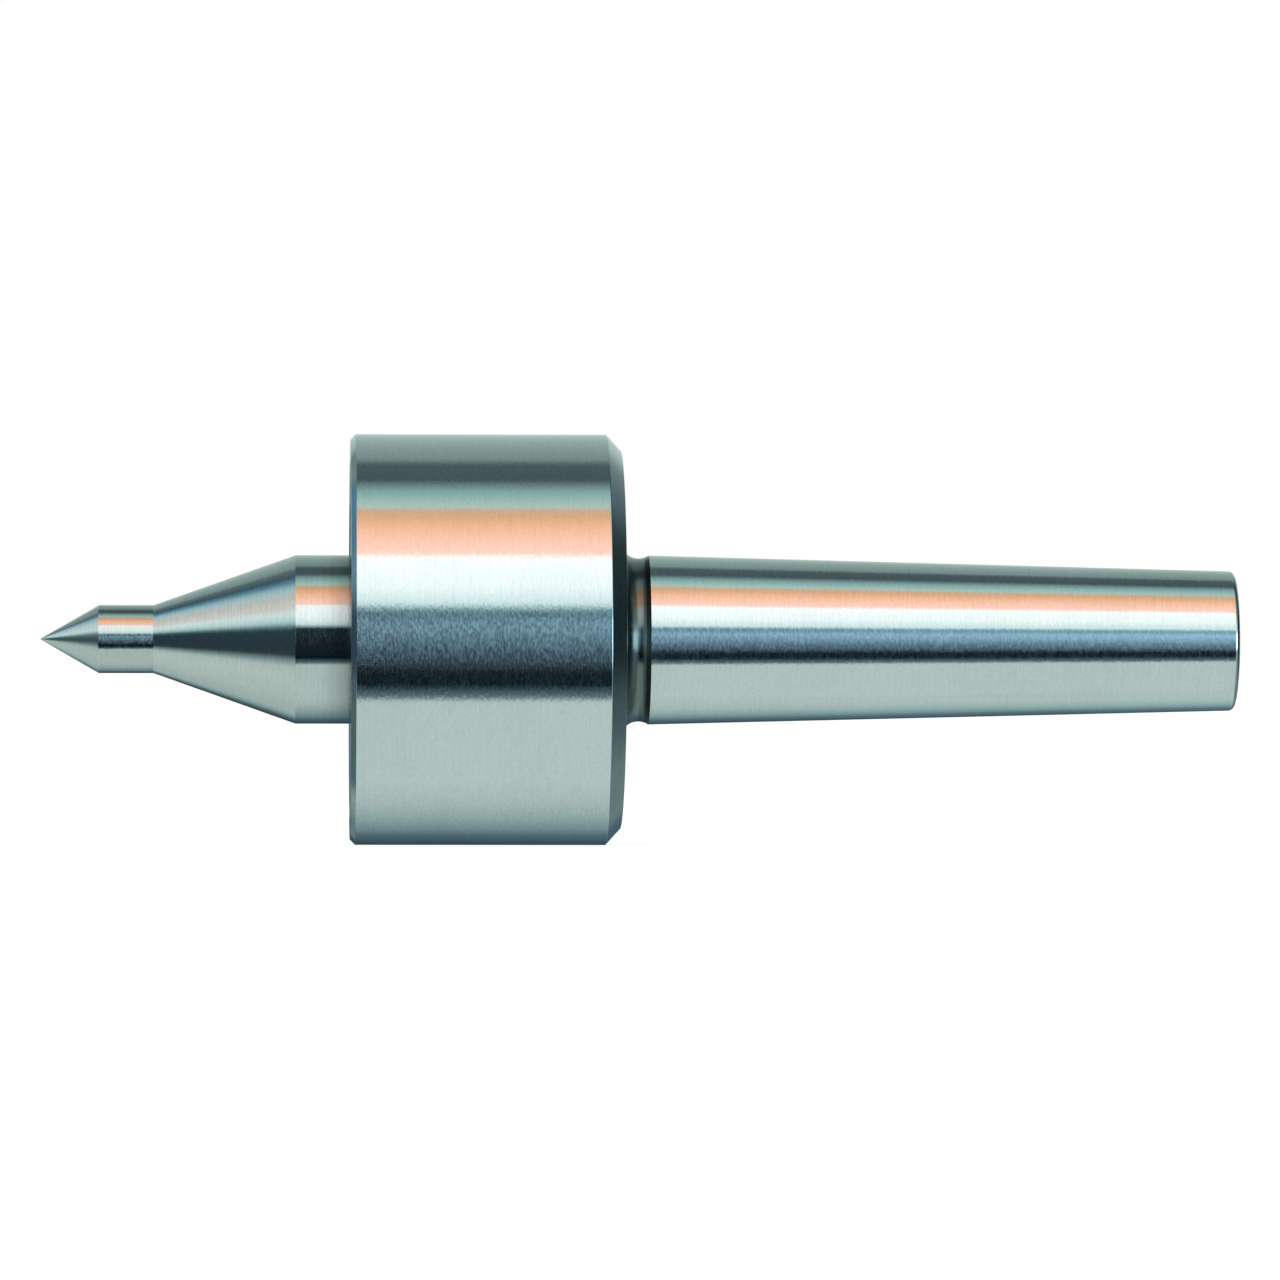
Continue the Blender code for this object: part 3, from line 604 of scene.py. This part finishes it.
def make_shaft_seal():
    """A pressed case with a rubber lip that runs on the stem, held down by a garter spring."""
    front_x, back_x = (corner.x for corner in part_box("seal_case"))
    outer = rim("seal_case")
    wall, window = 0.8 * MM, 13.8 * MM
    case = [
        (front_x, window, 0.2 * MM),
        (front_x, outer, 0.6 * MM),
        (back_x, outer),
        (back_x, outer - wall),
        (front_x + wall, outer - wall, 0.3 * MM),
        (front_x + wall, window, 0.2 * MM),
    ]
    finished(turned("seal_steel_case", case), "seal_case", "seal_case", "case")
    contact = STEM_RADIUS + ROLL
    root = window - ROLL
    ring, wire_seat = 13.75 * MM, 0.6 * MM
    garter_x = front_x + 3.55 * MM
    flange_radius = outer - wall - 0.6 * MM
    flange_x = front_x + wall + FIT
    flange_back_x = flange_x + 0.7 * MM
    dust_lip_x = front_x + 0.1 * MM
    lip_back_x = front_x + 4.6 * MM
    belly = contact + 0.65 * MM
    seat, seat_half = ring - wire_seat - FIT, 0.3 * MM
    lip = [
        (flange_x, flange_radius, 0.2 * MM),
        (flange_x, root),
        (dust_lip_x, root, 0.2 * MM),
        (dust_lip_x, contact, 0.05 * MM),
        (front_x + 1.0 * MM, belly, 0.2 * MM),
        (front_x + 2.6 * MM, belly, 0.2 * MM),
        (garter_x, contact, 0.05 * MM),
        (lip_back_x, contact + 0.5 * MM, 0.15 * MM),
        (lip_back_x, root - 0.25 * MM, 0.15 * MM),
        (garter_x + seat_half, seat, 0.1 * MM),
        (garter_x - seat_half, seat, 0.1 * MM),
        (front_x + 2.4 * MM, root - 0.2 * MM, 0.15 * MM),
        (front_x + 2.0 * MM, root, 0.2 * MM),
        (flange_back_x, root + 0.2 * MM, 0.1 * MM),
        (flange_back_x, flange_radius, 0.2 * MM),
    ]
    finished(turned("seal_rubber_lip", lip), "seal_lip", "rubber", "rubber")
    make_garter(garter_x, ring, wire_seat)


def make_garter(x, ring, reach):
    """The garter spring: a fine coil closed into a ring, which keeps the lip on the stem."""
    turns, steps, sides = 120, 12, 6
    wire = 0.13 * MM
    coil = reach - wire
    count = turns * steps
    centres = []
    for i in range(count):
        turn, along = 2 * math.pi * i / steps, 2 * math.pi * i / count
        radius = ring + coil * math.sin(turn)
        radial = Vector((0, math.cos(along), math.sin(along)))
        centres.append(Vector((x + coil * math.cos(turn), 0, 0)) + radial * radius)
    places = []
    for i, centre in enumerate(centres):
        ahead = (centres[(i + 1) % count] - centres[i - 1]).normalized()
        side = ahead.cross(Vector((1, 0, 0))).normalized()
        up = side.cross(ahead)
        for k in range(sides):
            a = 2 * math.pi * k / sides
            places.append(centre + side * (wire * math.cos(a)) + up * (wire * math.sin(a)))
    faces = []
    for i in range(count):
        for k in range(sides):
            here, there = i * sides, (i + 1) % count * sides
            nxt = (k + 1) % sides
            faces.append((here + k, here + nxt, there + nxt, there + k))
    mesh = bpy.data.meshes.new("seal_garter")
    mesh.from_pydata(places, [], faces)
    mesh.shade_smooth()
    garter = link_object("seal_garter", mesh)
    finished(garter, "seal_garter_spring", "spring_steel", "spring")


def make_wave_washer():
    thickness, height, waves = 0.35 * MM, 0.22 * MM, 3
    x = middle("preload_wave_washer").x
    inner, outer = 20.4 * MM, rim("preload_wave_washer")
    half = thickness / 2
    washer = turned("wave_washer", rectangle(x, half, inner, outer))
    for vert in washer.data.vertices:
        vert.co.x += height * math.cos(waves * math.atan2(vert.co.y, vert.co.z))
    finished(washer, "preload_wave_washer", "spring_steel", "spring")


# ---------------------------------------------------------------- bearings


def make_balls(node_prefix, count, pitch, radius, x):
    for number, (_, y, z) in enumerate(around(count, pitch), 1):
        node = f"{node_prefix}_{number:02d}"
        place = Matrix.Translation((x, y, z))
        bm = bmesh.new()
        bmesh.ops.create_icosphere(bm, subdivisions=4, radius=radius, matrix=place)
        mesh = bpy.data.meshes.new(node + "_lapped")
        bm.to_mesh(mesh)
        bm.free()
        mesh.shade_smooth()
        finished(link_object(node + "_lapped", mesh), node, "bearing_steel", "polished")


def make_front_bearing():
    x = middle("front_bearing_outer_ring").x
    half = half_width("front_bearing_outer_ring")
    balls, pitch, ball = 8, 16.75 * MM, 3.97 * MM
    chamfer = 0.8 * MM

    def race(land, side):
        radius = ball + ROLL
        half_angle = math.degrees(math.acos(abs(land - pitch) / radius))
        return arc((x, pitch), radius, 90 * side - half_angle, 90 * side + half_angle, 28)

    outer, land = rim("front_bearing_outer_ring"), 19.9 * MM
    ring = [
        (x + half, outer - chamfer),
        (x + half - chamfer, outer),
        (x - half + chamfer, outer),
        (x - half, outer - chamfer),
        (x - half, land),
        *reversed(race(land, 1)),
        (x + half, land),
    ]
    ring = turned("front_outer_race", ring)
    finished(ring, "front_bearing_outer_ring", "bearing_steel", "race")
    bore, land = FRONT_JOURNAL + FIT, 13.6 * MM
    ring = [
        (x + half, bore + chamfer),
        (x + half - chamfer, bore),
        (x - half + chamfer, bore),
        (x - half, bore + chamfer),
        (x - half, land),
        *race(land, -1),
        (x + half, land),
    ]
    ring = turned("front_inner_race", ring)
    finished(ring, "front_bearing_inner_ring", "bearing_steel", "race")
    edge = half_width("front_bearing_cage")
    inner, outer = 15.4 * MM, 18.1 * MM
    cage = turned("front_ball_cage", rectangle(x, edge, inner, outer))
    pocket = ball + 0.25 * MM
    cut(cage, [radial_cutter(a, (x, y, z), pocket) for a, y, z in around(balls, pitch)], bevel=0.06 * MM)
    finished(cage, "front_bearing_cage", "brass", "brass")
    make_balls("front_bearing_ball", balls, pitch, ball, x)


def drill(radius, matrix):
    """A cylinder that cuts a ball's pocket through a cage."""
    size = {"segments": FINE_SEGMENTS, "radius1": radius, "radius2": radius, "depth": DRILL_LENGTH}
    bm = bmesh.new()
    bmesh.ops.create_cone(bm, cap_ends=True, matrix=matrix, **size)
    mesh = bpy.data.meshes.new("cutter")
    bm.to_mesh(mesh)
    bm.free()
    return link_object("cutter", mesh)


def radial_cutter(angle, place, radius):
    return drill(radius, Matrix.Translation(place) @ Matrix.Rotation(angle - math.pi / 2, 4, "X"))


def make_circlip():
    """Open ring, wider opposite its opening, with an eyed ear at each end."""
    x = middle("spindle_circlip").x
    half = half_width("spindle_circlip")
    inner, outer = 9.45 * MM, 12.0 * MM
    ear, eye, edge = 13.3 * MM, 0.75 * MM, 0.1 * MM
    eye_pitch, eye_turn = 11.6 * MM, math.radians(7.5)
    ear_turn, ear_softness = math.radians(14), math.radians(1.5)
    thinning = 0.9 * MM
    first, last = math.radians(17), math.radians(343)
    steps = 120
    angles = [first + (last - first) * i / steps for i in range(steps + 1)]

    def outline_radius(angle):
        to_end = min(angle - first, last - angle)
        slim = outer - thinning * (0.5 + 0.5 * math.cos(angle))
        lift = 1 / (1 + math.exp((to_end - ear_turn) / ear_softness))
        return slim + (ear - slim) * lift

    rim_points = [(outline_radius(a) * math.cos(a), outline_radius(a) * math.sin(a)) for a in angles]
    rim_points += [(inner * math.cos(a), inner * math.sin(a)) for a in reversed(angles)]
    curve = bpy.data.curves.new("circlip_plate", "CURVE")
    curve.dimensions = "2D"
    curve.fill_mode = "BOTH"
    curve.extrude = half - edge
    curve.bevel_depth = edge
    curve.offset = -edge
    curve.bevel_resolution = 2
    eyes = []
    for angle in (first + eye_turn, last - eye_turn):
        centre = (eye_pitch * math.cos(angle), eye_pitch * math.sin(angle))
        eyes.append(arc(centre, eye, 0, 345, 23))
    for points in (rim_points, *eyes):
        spline = curve.splines.new("POLY")
        spline.points.add(len(points) - 1)
        for spline_point, (y, z) in zip(spline.points, points):
            spline_point.co = (y, z, 0, 1)
        spline.use_cyclic_u = True
    plate = link_object("circlip_plate", curve)
    evaluated = plate.evaluated_get(bpy.context.evaluated_depsgraph_get())
    mesh = bpy.data.meshes.new_from_object(evaluated)
    bpy.data.objects.remove(plate, do_unlink=True)
    # The curve's own X, Y and Z become Y, Z and X.
    axes = Matrix(((0, 0, 1, x), (1, 0, 0, 0), (0, 1, 0, 0), (0, 0, 0, 1)))
    mesh.transform(axes)
    mesh.shade_smooth()
    mesh.set_sharp_from_angle(angle=math.radians(40))
    finished(link_object("eyed_circlip", mesh), "spindle_circlip", "spring_steel", "spring")


def make_thrust_bearing():
    x = middle("thrust_cage").x
    half, washer, balls, ball = 4.5 * MM, 3.0 * MM, 12, 2.38 * MM
    housing_clearance, chamfer = 0.8 * MM, 0.4 * MM
    outer = rim("thrust_housing_washer")
    pitch = (THRUST_JOURNAL + outer) / 2
    face = half - washer
    radius = ball + ROLL
    half_angle = math.degrees(math.acos(face / radius))
    washers = (
        ("thrust_shaft_washer", THRUST_JOURNAL + FIT, outer - FIT, -1),
        ("thrust_housing_washer", THRUST_JOURNAL + housing_clearance, outer, 1),
    )
    for node, bore, edge, side in washers:
        groove = arc((0, pitch), radius, half_angle, -half_angle, 20)
        outline = [(face, edge), *groove, (face, bore), (half, bore, chamfer), (half, edge, chamfer)]
        ring = turned(node.replace("washer", "race"), [(x + side * c[0], *c[1:]) for c in outline])
        finished(ring, node, "bearing_steel", "race")
    inner, rim_radius = 9.3 * MM, 14.4 * MM
    edge = half_width("thrust_cage")
    cage = turned("thrust_ball_cage", rectangle(x, edge, inner, rim_radius))
    turn = Matrix.Rotation(math.pi / 2, 4, "Y")
    places = [Matrix.Translation((x, y, z)) for _, y, z in around(balls, pitch)]
    cut(cage, [drill(ball + ROLL, place @ turn) for place in places], bevel=0.05 * MM)
    finished(cage, "thrust_cage", "brass", "brass")
    make_balls("thrust_ball", balls, pitch, ball, x)


def make_shim():
    x, half = middle("adjusting_shim").x, half_width("adjusting_shim")
    bore = THRUST_JOURNAL + 1.1 * MM
    shim = turned("shim_ring", rectangle(x, half, bore, rim("adjusting_shim")))
    finished(shim, "adjusting_shim", "spring_steel", "spring")


def make_needle_bearing():
    x, half = middle("needle_outer_ring").x, half_width("needle_outer_ring")
    outer, lip, lip_width, chamfer = rim("needle_outer_ring"), 5.9 * MM, 1.2 * MM, 0.4 * MM
    needles, needle, length = 12, 0.95 * MM, half_width("needle_01")
    window, needle_end = (6.7 * MM, 3 * MM, 2.25 * MM), 0.25 * MM
    pitch = NEEDLE_JOURNAL + needle + FIT
    race = pitch + needle + ROLL
    ring = [
        (x + half, outer - chamfer),
        (x + half - chamfer, outer),
        (x - half + chamfer, outer),
        (x - half, outer - chamfer),
        (x - half, lip),
        (x - half + lip_width, lip),
        (x - half + lip_width, race),
        (x + half - lip_width, race),
        (x + half - lip_width, lip),
        (x + half, lip),
    ]
    ring = turned("needle_race", ring)
    finished(ring, "needle_outer_ring", "bearing_steel", "race")
    inner, rim_radius, edge = 5.45 * MM, 6.75 * MM, half_width("needle_cage")
    corners = rectangle(x, edge, inner, rim_radius)
    cage = turned("needle_roller_cage", corners, segments=SMALL_SEGMENTS)
    cutters = []
    for number, (angle, y, z) in enumerate(around(needles, pitch), 1):
        bm = bmesh.new()
        size = Matrix.Diagonal((*window, 1))
        matrix = Matrix.Translation((x, y, z)) @ Matrix.Rotation(angle, 4, "X") @ size
        bmesh.ops.create_cube(bm, size=1, matrix=matrix)
        mesh = bpy.data.meshes.new("window")
        bm.to_mesh(mesh)
        bm.free()
        cutters.append(link_object("window", mesh))
        node = f"needle_{number:02d}"
        roller = [
            (x - length, 0),
            (x - length, needle, needle_end),
            (x + length, needle, needle_end),
            (x + length, 0),
        ]
        roller = turned(node + "_roller", roller, closed=False, segments=FINE_SEGMENTS, at=(0, y, z))
        finished(roller, node, "bearing_steel", "polished")
    cut(cage, cutters, bevel=0.04 * MM)
    finished(cage, "needle_cage", "cage_steel", "cage")


# ---------------------------------------------------------------- studio

# What a ray square to the axis meets, by degrees: 0 behind the camera, 90 overhead, -90 the floor and 180
# behind the object.
STUDIO = (
    (-180, (0.02, 0.05, 0.07)),
    (-160, (0.05, 0.09, 0.12)),
    (-144, (0.11, 0.18, 0.21)),
    (-134, (0.22, 0.35, 0.37)),
    (-125, (0.32, 0.48, 0.48)),
    (-110, (0.55, 0.69, 0.68)),
    (-98, (0.71, 0.83, 0.80)),
    (-87, (0.77, 0.90, 0.87)),
    (-34.7, (0.77, 0.90, 0.87)),
    (-32.2, (0.15, 0.24, 0.27)),
    (-25.5, (0.00, 0.01, 0.015)),
    (-18.5, (0.00, 0.00, 0.005)),
    (-14, (0.035, 0.06, 0.08)),
    (-7, (0.11, 0.19, 0.25)),
    (0, (0.23, 0.37, 0.47)),
    (8, (0.35, 0.57, 0.69)),
    (14, (0.23, 0.41, 0.50)),
    (17.5, (0.27, 0.45, 0.52)),
    (20.5, (1.12, 1.34, 1.34)),
    (30, (1.56, 1.66, 1.65)),
    (47, (1.76, 1.76, 1.75)),
    (49, (1.82, 1.16, 0.97)),
    (56, (1.84, 1.03, 0.78)),
    (65, (1.66, 0.85, 0.55)),
    (73, (1.25, 0.68, 0.37)),
    (78, (1.02, 0.68, 0.44)),
    (80, (0.73, 0.94, 0.86)),
    (92, (0.37, 0.62, 0.60)),
    (101, (0.10, 0.14, 0.15)),
    (116, (0.11, 0.16, 0.17)),
    (122, (0.30, 0.42, 0.40)),
    (180, (0.62, 0.76, 0.73)),
)
# The same for rays that lean about 30 degrees towards the point.
STUDIO_LEFT = (
    (-180, (0.15, 0.25, 0.28)),
    (-152, (0.18, 0.28, 0.30)),
    (-140, (0.36, 0.50, 0.48)),
    (-128, (0.54, 0.68, 0.64)),
    (-93, (0.70, 0.80, 0.75)),
    (-60, (0.76, 0.86, 0.80)),
    (-44, (0.70, 0.82, 0.78)),
    (-33, (0.26, 0.38, 0.37)),
    (-25, (0.04, 0.06, 0.07)),
    (14, (0.03, 0.06, 0.08)),
    (19, (0.10, 0.22, 0.25)),
    (28, (0.72, 0.98, 0.96)),
    (40, (1.04, 1.24, 1.22)),
    (50, (1.02, 0.97, 0.90)),
    (66, (0.86, 0.82, 0.76)),
    (75, (0.72, 0.86, 0.86)),
    (84, (0.50, 0.76, 0.82)),
    (93, (0.17, 0.36, 0.47)),
    (102, (0.06, 0.13, 0.19)),
    (109, (0.10, 0.18, 0.22)),
    (116, (0.22, 0.31, 0.31)),
    (131, (0.40, 0.46, 0.43)),
    (150, (0.20, 0.29, 0.30)),
    (180, (0.26, 0.34, 0.34)),
)
# Rays that lean 55 degrees or more towards the point.
STUDIO_FAR_LEFT = (
    (-180, (0.06, 0.10, 0.14)),
    (-133, (0.12, 0.20, 0.21)),
    (-112, (0.11, 0.18, 0.18)),
    (-98, (0.16, 0.23, 0.23)),
    (-86, (0.58, 0.72, 0.69)),
    (-45, (0.56, 0.69, 0.65)),
    (-28, (0.22, 0.31, 0.30)),
    (-12, (0.07, 0.12, 0.13)),
    (4, (0.09, 0.15, 0.16)),
    (20, (0.16, 0.26, 0.28)),
    (32, (0.28, 0.42, 0.43)),
    (44, (0.82, 1.02, 1.02)),
    (65, (0.86, 1.04, 1.06)),
    (82, (0.68, 0.94, 1.04)),
    (98, (0.46, 0.66, 0.78)),
    (107, (0.20, 0.38, 0.48)),
    (116, (0.11, 0.26, 0.38)),
    (133, (0.13, 0.32, 0.49)),
    (142, (0.09, 0.18, 0.26)),
    (180, (0.16, 0.26, 0.30)),
)
LEFT_POLE = (0.04, 0.08, 0.12)
# Rays that lean 30 to 50 degrees towards the shank's end meet a blue soft box level with the axis, in a dim
# room.
STUDIO_RIGHT = (
    (-180, (0.30, 0.40, 0.38)),
    (-150, (0.20, 0.28, 0.28)),
    (-120, (0.20, 0.28, 0.28)),
    (-45, (0.40, 0.55, 0.55)),
    (-19, (0.35, 0.55, 0.65)),
    (-14, (1.90, 2.70, 3.20)),
    (0, (2.40, 3.40, 3.90)),
    (11, (2.40, 3.40, 3.90)),
    (17, (0.90, 1.40, 1.60)),
    (31, (0.60, 0.90, 0.95)),
    (58, (0.45, 0.45, 0.35)),
    (75, (0.25, 0.30, 0.28)),
    (105, (0.06, 0.08, 0.08)),
    (124, (0.05, 0.08, 0.08)),
    (133, (0.07, 0.12, 0.14)),
    (142, (0.13, 0.20, 0.23)),
    (156, (0.26, 0.35, 0.35)),
    (180, (0.45, 0.57, 0.54)),
)
STUDIO_FAR_RIGHT = (
    (-180, (0.10, 0.15, 0.16)),
    (-60, (0.08, 0.13, 0.14)),
    (0, (0.02, 0.04, 0.05)),
    (120, (0.02, 0.04, 0.04)),
    (180, (0.04, 0.06, 0.07)),
)
RIGHT_POLE = (0.012, 0.026, 0.032)
# The leans, in degrees, between which one part of the studio fades into the next. Leans below 0 are towards
# the point.
LEFT_FADE = (-18.0, -27.0)
FAR_LEFT_FADE = (-48.0, -56.0)
LEFT_POLE_FADE = (-64.0, -85.0)
GAIN_FADE = (1.0, 9.0)
RIGHT_FADE = (18.0, 32.0)
FAR_RIGHT_FADE = (46.0, 66.0)
RIGHT_POLE_FADE = (66.0, 84.0)
# High overhead and low underneath, the parts towards the point begin nearer: from which angle to which, and
# by how many degrees of lean.
OVERHEAD = (50.0, 95.0, 13.0)
UNDERNEATH = (-98.0, -125.0, 10.0)
# How many times brighter the room is for rays that lean a little towards the shank's end.
TAILWARD_GAIN = (
    (-180, (2.0, 2.0, 2.0)),
    (-125, (1.7, 1.6, 1.5)),
    (-95, (1.0, 1.0, 1.0)),
    (-26, (1.0, 1.0, 1.0)),
    (-21, (1.3, 1.4, 1.4)),
    (-12, (1.6, 1.9, 2.0)),
    (-6, (1.4, 1.6, 1.75)),
    (8, (1.6, 1.75, 1.9)),
    (14, (1.5, 1.6, 1.7)),
    (18, (2.2, 2.0, 1.8)),
    (21, (1.0, 1.0, 1.0)),
    (180, (1.0, 1.0, 1.0)),
)
# The brightest value that a part's ramp can hold.
ROOM_RANGE = 2.0
RIGHT_RANGE = 4.0
GAIN_RANGE = 4.0
FLAG = (-22.0, 15.0)  # the camera's own dark shape, in the same degrees
FLAG_SOFTNESS = 2.0
FLAG_HALF_WIDTH = 4.0
FLAG_SIDE_SOFTNESS = 1.5
FLAG_COLOUR = (0.012, 0.020, 0.022)


def dimmed(colour, brightest=ROOM_RANGE):
    return tuple(c / brightest for c in colour)


def degrees_ramp(tree, position, stops, brightest=ROOM_RANGE):
    places = [((degrees + 180) / 360, dimmed(colour, brightest)) for degrees, colour in stops]
    return ramp(tree, position, places)


def smooth_step(tree, value, low, high):
    sockets = {"Value": value, "From Min": low, "From Max": high}
    return add(tree, "MapRange", sockets, interpolation_type="SMOOTHSTEP").outputs[0]


def beyond(tree, value, near, far):
    """0 up to near and 1 from far on, where far may be below near."""
    if far > near:
        return smooth_step(tree, value, near, far)
    return calc(tree, "SUBTRACT", 1.0, smooth_step(tree, value, far, near))


def flag_cover(tree, lean, around_degrees):
    """1 where a ray meets the camera."""
    low, high = FLAG
    above = beyond(tree, around_degrees, low - FLAG_SOFTNESS, low)
    below = beyond(tree, around_degrees, high + FLAG_SOFTNESS, high)
    outside = FLAG_HALF_WIDTH + FLAG_SIDE_SOFTNESS
    near = beyond(tree, calc(tree, "ABSOLUTE", lean), outside, FLAG_HALF_WIDTH)
    return calc(tree, "MULTIPLY", near, calc(tree, "MULTIPLY", above, below))


def mix_colours(tree, factor, first, second):
    node = tree.nodes.new("ShaderNodeMix")
    node.data_type = "RGBA"
    for socket, value in ((node.inputs[0], factor), (node.inputs[6], first), (node.inputs[7], second)):
        if isinstance(value, bpy.types.NodeSocket):
            tree.links.new(value, socket)
        else:
            socket.default_value = value if isinstance(value, float) else (*value, 1)
    return node.outputs[2]


def make_world():
    """White to the camera, while reflections meet the studio."""
    world = bpy.data.worlds.new("studio")
    bpy.context.scene.world = world
    world.use_nodes = True
    tree = world.node_tree
    tree.nodes.clear()
    direction = add(tree, "TexCoord").outputs["Generated"]
    x, y, z = add(tree, "SeparateXYZ", {0: direction}).outputs
    angle = calc(tree, "ARCTAN2", z, calc(tree, "MULTIPLY", y, -1.0))
    position = calc(tree, "MULTIPLY_ADD", angle, 1 / (2 * math.pi), 0.5)
    lean = calc(tree, "MULTIPLY", calc(tree, "ARCSINE", x), 180 / math.pi)
    around_degrees = calc(tree, "MULTIPLY", angle, 180 / math.pi)
    colour = degrees_ramp(tree, position, STUDIO)
    gain = degrees_ramp(tree, position, TAILWARD_GAIN, GAIN_RANGE)
    gain = add(tree, "VectorMath", {0: gain, 3: GAIN_RANGE}, operation="SCALE").outputs[0]
    gained = add(tree, "VectorMath", {0: colour, 1: gain}, operation="MULTIPLY").outputs[0]
    colour = mix_colours(tree, smooth_step(tree, lean, *GAIN_FADE), colour, gained)
    colour = mix_colours(tree, flag_cover(tree, lean, around_degrees), colour, dimmed(FLAG_COLOUR))
    over, under = (
        calc(tree, "MULTIPLY", beyond(tree, around_degrees, near, far), shift)
        for near, far, shift in (OVERHEAD, UNDERNEATH)
    )
    left_lean = calc(tree, "SUBTRACT", lean, under)
    far_left_lean = calc(tree, "SUBTRACT", left_lean, over)
    for from_lean, fade, stops, brightest in (
        (left_lean, LEFT_FADE, STUDIO_LEFT, ROOM_RANGE),
        (far_left_lean, FAR_LEFT_FADE, STUDIO_FAR_LEFT, ROOM_RANGE),
        (lean, RIGHT_FADE, STUDIO_RIGHT, RIGHT_RANGE),
        (lean, FAR_RIGHT_FADE, STUDIO_FAR_RIGHT, ROOM_RANGE),
    ):
        room = degrees_ramp(tree, position, stops, brightest)
        room = add(tree, "VectorMath", {0: room, 3: brightest / ROOM_RANGE}, operation="SCALE").outputs[0]
        colour = mix_colours(tree, beyond(tree, from_lean, *fade), colour, room)
    for fade, pole in ((LEFT_POLE_FADE, LEFT_POLE), (RIGHT_POLE_FADE, RIGHT_POLE)):
        colour = mix_colours(tree, beyond(tree, lean, *fade), colour, dimmed(pole))
    room = add(tree, "Background", {"Color": colour, "Strength": ROOM_RANGE}).outputs[0]
    white = add(tree, "Background", {"Color": (1, 1, 1, 1), "Strength": 1.0}).outputs[0]
    seen = add(tree, "LightPath").outputs["Is Camera Ray"]
    shown = add(tree, "MixShader", {0: seen, 1: room, 2: white}).outputs[0]
    add(tree, "OutputWorld", {"Surface": shown})


def make_floor():
    """A pale floor that glows enough to stay white, with only a faint shadow under the head."""
    side = 8.0
    mesh = bpy.data.meshes.new("floor")
    corners = [(x * side, y * side, FLOOR_Z) for x, y in ((-1, -1), (1, -1), (1, 1), (-1, 1))]
    mesh.from_pydata(corners, [], [(0, 1, 2, 3)])
    floor = link_object("floor", mesh)
    material = bpy.data.materials.new("pale_floor")
    material.use_nodes = True
    shader = material.node_tree.nodes["Principled BSDF"]
    shader.inputs["Base Color"].default_value = (0.25, 0.25, 0.25, 1)
    shader.inputs["Roughness"].default_value = 1.0
    shader.inputs["Specular IOR Level"].default_value = 0.0
    shader.inputs["Emission Color"].default_value = (1, 1, 1, 1)
    shader.inputs["Emission Strength"].default_value = 0.9
    mesh.materials.append(material)
    floor.visible_glossy = False


def make_light():
    """One broad soft light overhead, for the rubber and the floor; the metal reflects the room instead."""
    data = bpy.data.lights.new("soft_box", "AREA")
    data.shape = "RECTANGLE"
    data.size, data.size_y = 1.2, 0.8
    data.energy = 6
    light = link_object("soft_box", data)
    light.location = (0, -0.2, 0.9)
    light.rotation_euler = (math.radians(-12), 0, 0)
    light.visible_glossy = False


def make_camera():
    """Level with the axis, square on to it and far away, with a long lens."""
    data = bpy.data.cameras.new("camera")
    data.lens = 245
    data.sensor_width = 36
    data.clip_start, data.clip_end = 0.05, 50
    camera = link_object("camera", data)
    place, target = Vector((-0.0522, -1.231, 0)), Vector((-0.0027, 0, 0))
    roll = math.radians(0.1)
    camera.location = place
    aim = (target - place).to_track_quat("-Z", "Y").to_matrix()
    camera.rotation_euler = (aim @ Matrix.Rotation(roll, 3, "Z")).to_euler()
    bpy.context.scene.camera = camera


make_camera()
make_world()
make_floor()
make_light()
make_body()
make_spindle()
make_front_cap()
make_shaft_seal()
make_wave_washer()
make_front_bearing()
make_circlip()
make_thrust_bearing()
make_shim()
make_needle_bearing()
bpy.context.scene.view_settings.view_transform = "Standard"

bpy.context.view_layer.update()
